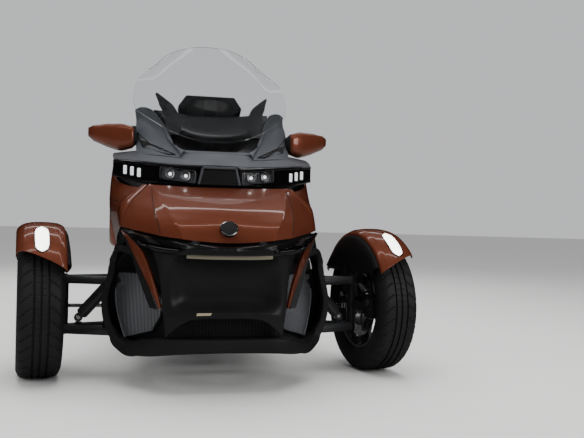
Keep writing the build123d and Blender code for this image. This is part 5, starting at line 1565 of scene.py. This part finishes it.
# Name, body, finish, slot, node, corner radius, corners on the parting line, outer and inner outline
TOP_CASE_SHELLS = (
    ("top_case_shell", "top_case_lid", "brown_paint", "brown_paint", "top_case_lid", 30, (0, 1),
     [(1764, 1206), (2272, 1052), (2262, 1160), (2180, 1262), (1830, 1278), (1772, 1254)],
     [(1773, 1203.3), (2263, 1054.7), (2253, 1156), (2174, 1253), (1833, 1269), (1781, 1249)]),
    ("top_case_tub_shell", "chassis", "moulded_black", "black_satin", "top_case_tub", 26, (3, 4),
     [(1778, 880), (2210, 880), (2262, 1010), (2266, 1046), (1762, 1200), (1758, 1010)],
     [(1787, 889), (2203, 889), (2253, 1012), (2257, 1048.7), (1771, 1197.2), (1767, 1010)]),
)
CORNER_STEPS = 5


def rounded_outline(corners, radius, sharp=()):
    """Closed outline with its corners rounded, the sharp ones only a little."""
    p = np.asarray(corners, float)
    t = np.linspace(0, 1, CORNER_STEPS)[:, None]
    line = []
    for i in range(len(p)):
        ends = []
        for leg in (p[i - 1] - p[i], p[(i + 1) % len(p)] - p[i]):
            length = np.linalg.norm(leg)
            ends.append(p[i] + leg / length * min(5.0 if i in sharp else radius, length * 0.48))
        line.append((1 - t) ** 2 * ends[0] + 2 * t * (1 - t) * p[i] + t ** 2 * ends[1])
    return np.concatenate(line)


CASE_LINE = rounded_outline(CASE_OUTLINE, 62)


def case_rings(side, rings):
    reach = np.linalg.norm(CASE_LINE - CASE_MIDDLE, axis=1, keepdims=True)
    return [[(side * x, y, z) for y, z in CASE_MIDDLE + (CASE_LINE - CASE_MIDDLE) * (reach - inset) / reach]
            for x, inset in rings]


def walled_box(outer, inner, gap):
    """Walled shape between two skins of rings, open along the side after ring point gap; inside is slot 1."""
    m, n = len(outer), len(outer[0])
    skin = m * n
    faces = []
    for first in (0, skin):
        faces += [(first + i * n + j, first + i * n + (j + 1) % n, first + (i + 1) * n + (j + 1) % n,
                   first + (i + 1) * n + j) for i in range(m - 1) for j in range(n) if j != gap]
        faces += [range(first, first + n), range(first + skin - n, first + skin)]
    outer_faces = len(faces) // 2
    rim = [i * n + gap for i in range(m)] + [i * n + (gap + 1) % n for i in reversed(range(m))]
    faces += [(a, b, b + skin, a + skin) for a, b in zip(rim, rim[1:] + rim[:1])]
    return Shape().add([outer, inner], faces, [0] * outer_faces + [1] * (len(faces) - outer_faces))


class ROADSTER_OT_cases(Operator):
    """Side cases and top case as hollow shells with their trim and latches, tail lamps and a blank plate"""
    bl_idname = "roadster.cases"
    bl_label = "Cases and tail"

    def execute(self, context):
        count = len(CASE_LINE)
        lid_slots = [1] * (len(LID_INSIDE) * count) + [0] * ((len(LID_OUTSIDE) - 1) * count) + [1, 0]
        tubs = Shape()
        for side in SIDES:
            name = "side_case_" + SIDE_NAME[side]
            body = "side_case_lid_" + SIDE_NAME[side]
            lid = Shape().loft(case_rings(side, LID_INSIDE + LID_OUTSIDE), lid_slots)
            lid.make(name + "_shell", "brown_paint moulded_black", "brown_paint", body, name + "_lid",
                     smooth=40)
            tubs.loft(case_rings(side, TUB_RINGS))
        tubs.make("side_case_tub_shells", "moulded_black", "black_satin", replaces="side_case_tubs",
                  smooth=40)
        stations = [(-x, share) for x, share in TOP_CASE_STATIONS[::-1]] + TOP_CASE_STATIONS
        for name, body, finish_name, slot, node_name, radius, parting, *outlines in TOP_CASE_SHELLS:
            skins = []
            for corners, scale in zip(outlines, (1, TOP_CASE_INSIDE_WIDTH)):
                ring = rounded_outline(corners, radius, parting)
                skins.append([[(x * scale, y, z) for y, z in blend(TOP_CASE_MIDDLE, ring, share)]
                              for x, share in stations])
            shell = walled_box(*skins, gap=CORNER_STEPS * parting[1] - 1)
            shell.make(name, finish_name + " moulded_black", slot, body, node_name, smooth=40)
        for side in SIDES:
            trim = Shape()
            trim.bar((side * 485, 1740, 705), (side * 485, 1980, 705), 24, 5, corner=2, up=X_AXIS)
            trim.bar((side * 487, 1800, 705), (side * 487, 1920, 705), 13, 4, corner=1.5, up=X_AXIS, slot=1)
            groove = [(side * 485, y, z) for y, z in blend(CASE_MIDDLE, CASE_LINE, 0.66)]
            trim.tube(groove, 2, 8, closed=True)
            trim.make("side_case_" + SIDE_NAME[side] + "_trim", "satin_black grey_trim", "black_satin",
                      "side_case_lid_" + SIDE_NAME[side])
        latch = Shape().loft(rear_plate(0, 1092, 128, 42, 9, ((1, 2256), (1, 2269), (0.92, 2271))))
        latch.make("top_case_latch", "satin_black", "black_satin", "top_case_lid")
        tail = Shape()
        for low, high, slot in ((-96, 96, 0), (-149, -100, 1), (100, 149, 1)):
            layers = ((1, 2288), (1, 2293.6), (0.94, 2295.2))
            tail.loft(rear_plate((low + high) / 2, 810, high - low, 48, 6, layers), slot)
            for x in np.arange(low + 8, high - 4, 8.0):
                tail.bar((x, 2295.3, 792), (x, 2295.3, 828), 1.6, 1.2, corner=0.3, steps=1, slot=2, up=Y_AXIS)
        upright = (X_AXIS, Z_AXIS, Y_AXIS)
        lamp = rounded_box_ring(210, 20, 5)
        tail.loft(set_out(lamp, ((1, 2250), (1, 2261), (0.96, 2262.5)), (0, 0, 1000), *upright))
        lamp = rounded_box_ring(90, 36, 6)
        for side in SIDES:
            tail.loft(set_out(lamp, ((1, 2228), (1, 2242), (0.95, 2244)), (side * 310, 0, 600), *upright))
            tail.bar((side * 221, 1900, 836), (side * 221, 2180, 836), 24, 26, corner=10, slot=3, steps=4)
        tail.make("tail_lamps", "tail_red amber_lens gloss_black satin_black", "lamp_lens", bevel=0.8)
        plate = Shape().loft(rear_plate(0, 555, 214, 164, 10, ((1, 2104.2), (1, 2105.8), (0.985, 2106.4))))
        for side in SIDES:
            plate.lathe([(0, 6), (2, 6), (3, 4.5), (3, 0)], (side * 89, 2106, 600), Y_AXIS, 16, slot=1)
        plate.make("blank_plate", "plate_blank bare_steel", "black_satin")
        return {"FINISHED"}


COLUMN_FOOT = (0, 560, 905)
COLUMN_AXIS = (0, sin(radians(24)), cos(radians(24)))
BOOT_PROFILE = [(4, 27.6), (4, 34.6), (37, 34.6), (39, 42), (43, 41), (46, 35), (51, 37), (56, 32.5),
                (61, 34.5), (66, 30), (70, 31), (74, 28.4), (74, 27.6)]
CONSOLE_LINE = ((470, 118), (560, 130), (660, 130), (760, 128), (860, 112), (940, 98))
LEAD_LINE = [(170, 640, 1042), (120, 624, 1034), (40, 612, 1020)]
PIPE_LINE = [(120, 1080, 300), (132, 1000, 250), (130, 860, 215), (122, 700, 240)]
MUFFLER_START, MUFFLER_END = np.array([(-300, 1120, 240), (-300, 1600, 262)], float)


class ROADSTER_OT_controls(Operator):
    """Grips, switch boxes, console seams, column boot, fuel cap, footboard rubbers and engine covers"""
    bl_idname = "roadster.controls"
    bl_label = "Controls and running gear"

    def execute(self, context):
        bar = Shape()
        for side in SIDES:
            start, end = np.array([(side * 256, 697, 1063), (side * 405, 772, 1052)], float)
            along = unit(end - start)
            reach = np.linalg.norm(end - start)
            profile = [(2, 14), (3, 19.5), (9, 20.5), (12, 18.6)]
            for run in range(0, 120, 10):
                profile += [(16 + run, 19.2), (21 + run, 19.2), (22 + run, 18.3), (25 + run, 18.3)]
            profile += [(reach - 12, 18.6), (reach - 9, 21), (reach - 2, 21), (reach + 1, 16), (reach + 1, 0)]
            bar.lathe(profile, start, along, 28, slot=1)
            box = start - along * 16
            level = unit(np.cross(along, Z_AXIS))
            layers = ((0.7, -24), (0.95, -18), (1, 12), (0.85, 17))
            bar.loft(set_out(rounded_box_ring(46, 40, 12), layers, box, level, np.cross(level, along), along))
            rider = -level * np.sign(level[1])
            for run in (-14, -2, 10):
                button = [(0, 4.5), (3, 4.2), (3.4, 3), (3.4, 0)]
                bar.lathe(button, box + rider * 23 + along * run, rider, 16, slot=2)
            lead = curve([box - along * 20, *np.array(LEAD_LINE) * (side, 1, 1)], 8)
            bar.tube(lead + (0, -15, 4), 3.2, 8, slot=1)
        bar.moved(lambda p: turned(p, COLUMN_FOOT, COLUMN_AXIS, PARKED_TURN))
        bar.make("handlebar_controls", "satin_black grip_rubber grey_trim", "rubber", "handlebar", smooth=40)
        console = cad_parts["console_cover"]
        lines = Shape()
        for share in (0.62, -0.62):
            line = laid_on(console, [(share * half, y, 1300) for y, half in CONSOLE_LINE], lift=0.4)
            lines.tube(curve(line), 1.3, 6)
        for y, half in ((720, 80), (930, 60)):
            line = laid_on(console, [(x, y, 1300) for x in np.linspace(-half, half, 12)], lift=0.4)
            lines.tube(line, 1.3, 6)
        lines.make("console_seams", "vent_dark", "black_satin")
        boot = Shape().lathe(BOOT_PROFILE, COLUMN_FOOT, COLUMN_AXIS, closed=True)
        boot.make("column_boot", "grip_rubber", "rubber", smooth=50)
        front, middle, behind = laid_on(console, [(0, 790, 1300), (0, 810, 1300), (0, 830, 1300)])
        profile = [(-3, 42), (3, 42), (5, 40), (5.5, 34), (4, 32), (4, 12), (7, 10), (7, 0)]
        cap = Shape().lathe(profile, middle, np.cross(X_AXIS, behind - front))
        cap.make("fuel_cap", "satin_black", "black_satin")
        rubber = Shape()
        for side in SIDES:
            for y in np.arange(655, 975, 20.0):
                rubber.bar((side * 262, y, 339), (side * 384, y, 339), 9, 5, corner=2)
            for y in np.arange(1256, 1380, 16.0):
                rubber.bar((side * 268, y, 485), (side * 344, y, 485), 7, 4, corner=1.5)
            out = (side, 0, 0)
            for radius, y, z in ((96, 905, 335), (66, 690, 350)):
                cover = [(-4, radius), (7, radius), (12, radius - 7), (14, radius - 22), (16, radius * 0.4),
                         (16, 0)]
                rubber.lathe(cover, (side * 113, y, z), out, slot=1)
                for k in range(8):
                    c, s = around(k, 8, 0.2)
                    spot = (side * 121, y + (radius - 5) * c, z + (radius - 5) * s)
                    rubber.lathe([(-2, 6), (4, 6), (5, 4), (5, 0)], spot, out, 6, slot=2)
            for z in range(430, 535, 26):
                rubber.bar((side * 113, 640, z), (side * 113, 1090, z), 12, 8, corner=3, slot=1, up=out)
            rubber.tube(curve(np.array(PIPE_LINE) * (side, 1, 1), 8), 9, 12)
        rubber.make("footboard_rubbers", "grip_rubber cast_metal bare_steel", "rubber", smooth=40)
        clamps = Shape()
        along = unit(MUFFLER_END - MUFFLER_START)
        for run in (70, 240, 410):
            clamps.sleeve(run, run + 14, 61, 64, MUFFLER_START, along)
        tip = [(482, 30), (482, 36.5), (534, 36.5), (536, 34), (534, 31.5), (484, 31)]
        clamps.lathe(tip, MUFFLER_START, along, 40, closed=True)
        clamps.make("exhaust_clamps", "bare_steel", "cast_metal")
        return {"FINISHED"}


KEPT = {"frame_steel": ("frame", "swingarm", "knuckle_left", "knuckle_right"),
        "cast_metal": ("engine_block", "footboards"),
        "satin_black": ("muffler", "console_cover", "tail_section", "handlebar"),
        "moulded_black": ("front_trunk", "rear_fender"),
        "grip_rubber": ("belt_drive",)}


class ROADSTER_OT_kept(Operator):
    """Finishes for the CAD pieces that stay as they are"""
    bl_idname = "roadster.kept"
    bl_label = "Kept pieces"

    def execute(self, context):
        for finish_name, names in KEPT.items():
            for name in names:
                keep(name, finish_name)
        keep("steering_rack", "bare_steel", bevel=0)
        return {"FINISHED"}


class ROADSTER_PT_build(Panel):
    """Sizes, colours and build steps of the roadster"""
    bl_label = "Touring roadster"
    bl_idname = "ROADSTER_PT_build"
    bl_space_type = "VIEW_3D"
    bl_region_type = "UI"
    bl_category = "Roadster"

    def draw(self, context):
        for group in (context.scene.roadster_finishes, context.scene.roadster_sizes):
            for key in group.__annotations__:
                self.layout.prop(group, key)
        for step in STEPS:
            self.layout.operator(step.bl_idname)


STEPS = (ROADSTER_OT_finishes, ROADSTER_OT_stage, ROADSTER_OT_hood, ROADSTER_OT_sides, ROADSTER_OT_nose,
         ROADSTER_OT_blades, ROADSTER_OT_fascia, ROADSTER_OT_lamps, ROADSTER_OT_upper, ROADSTER_OT_mirrors,
         ROADSTER_OT_tyres, ROADSTER_OT_rims, ROADSTER_OT_fenders, ROADSTER_OT_suspension, ROADSTER_OT_kept,
         ROADSTER_OT_cases, ROADSTER_OT_controls, ROADSTER_OT_seats)
PARTS = (RoadsterFinishes, RoadsterSizes) + STEPS + (ROADSTER_PT_build,)


def register():
    for item in PARTS:
        bpy.utils.register_class(item)
    bpy.types.Scene.roadster_finishes = PointerProperty(type=RoadsterFinishes)
    bpy.types.Scene.roadster_sizes = PointerProperty(type=RoadsterSizes)


def unregister():
    del bpy.types.Scene.roadster_sizes
    del bpy.types.Scene.roadster_finishes
    for item in reversed(PARTS):
        bpy.utils.unregister_class(item)


def main():
    register()
    for step in STEPS:
        group, name = step.bl_idname.split(".")
        getattr(getattr(bpy.ops, group), name)()


if __name__ == "__main__":
    main()
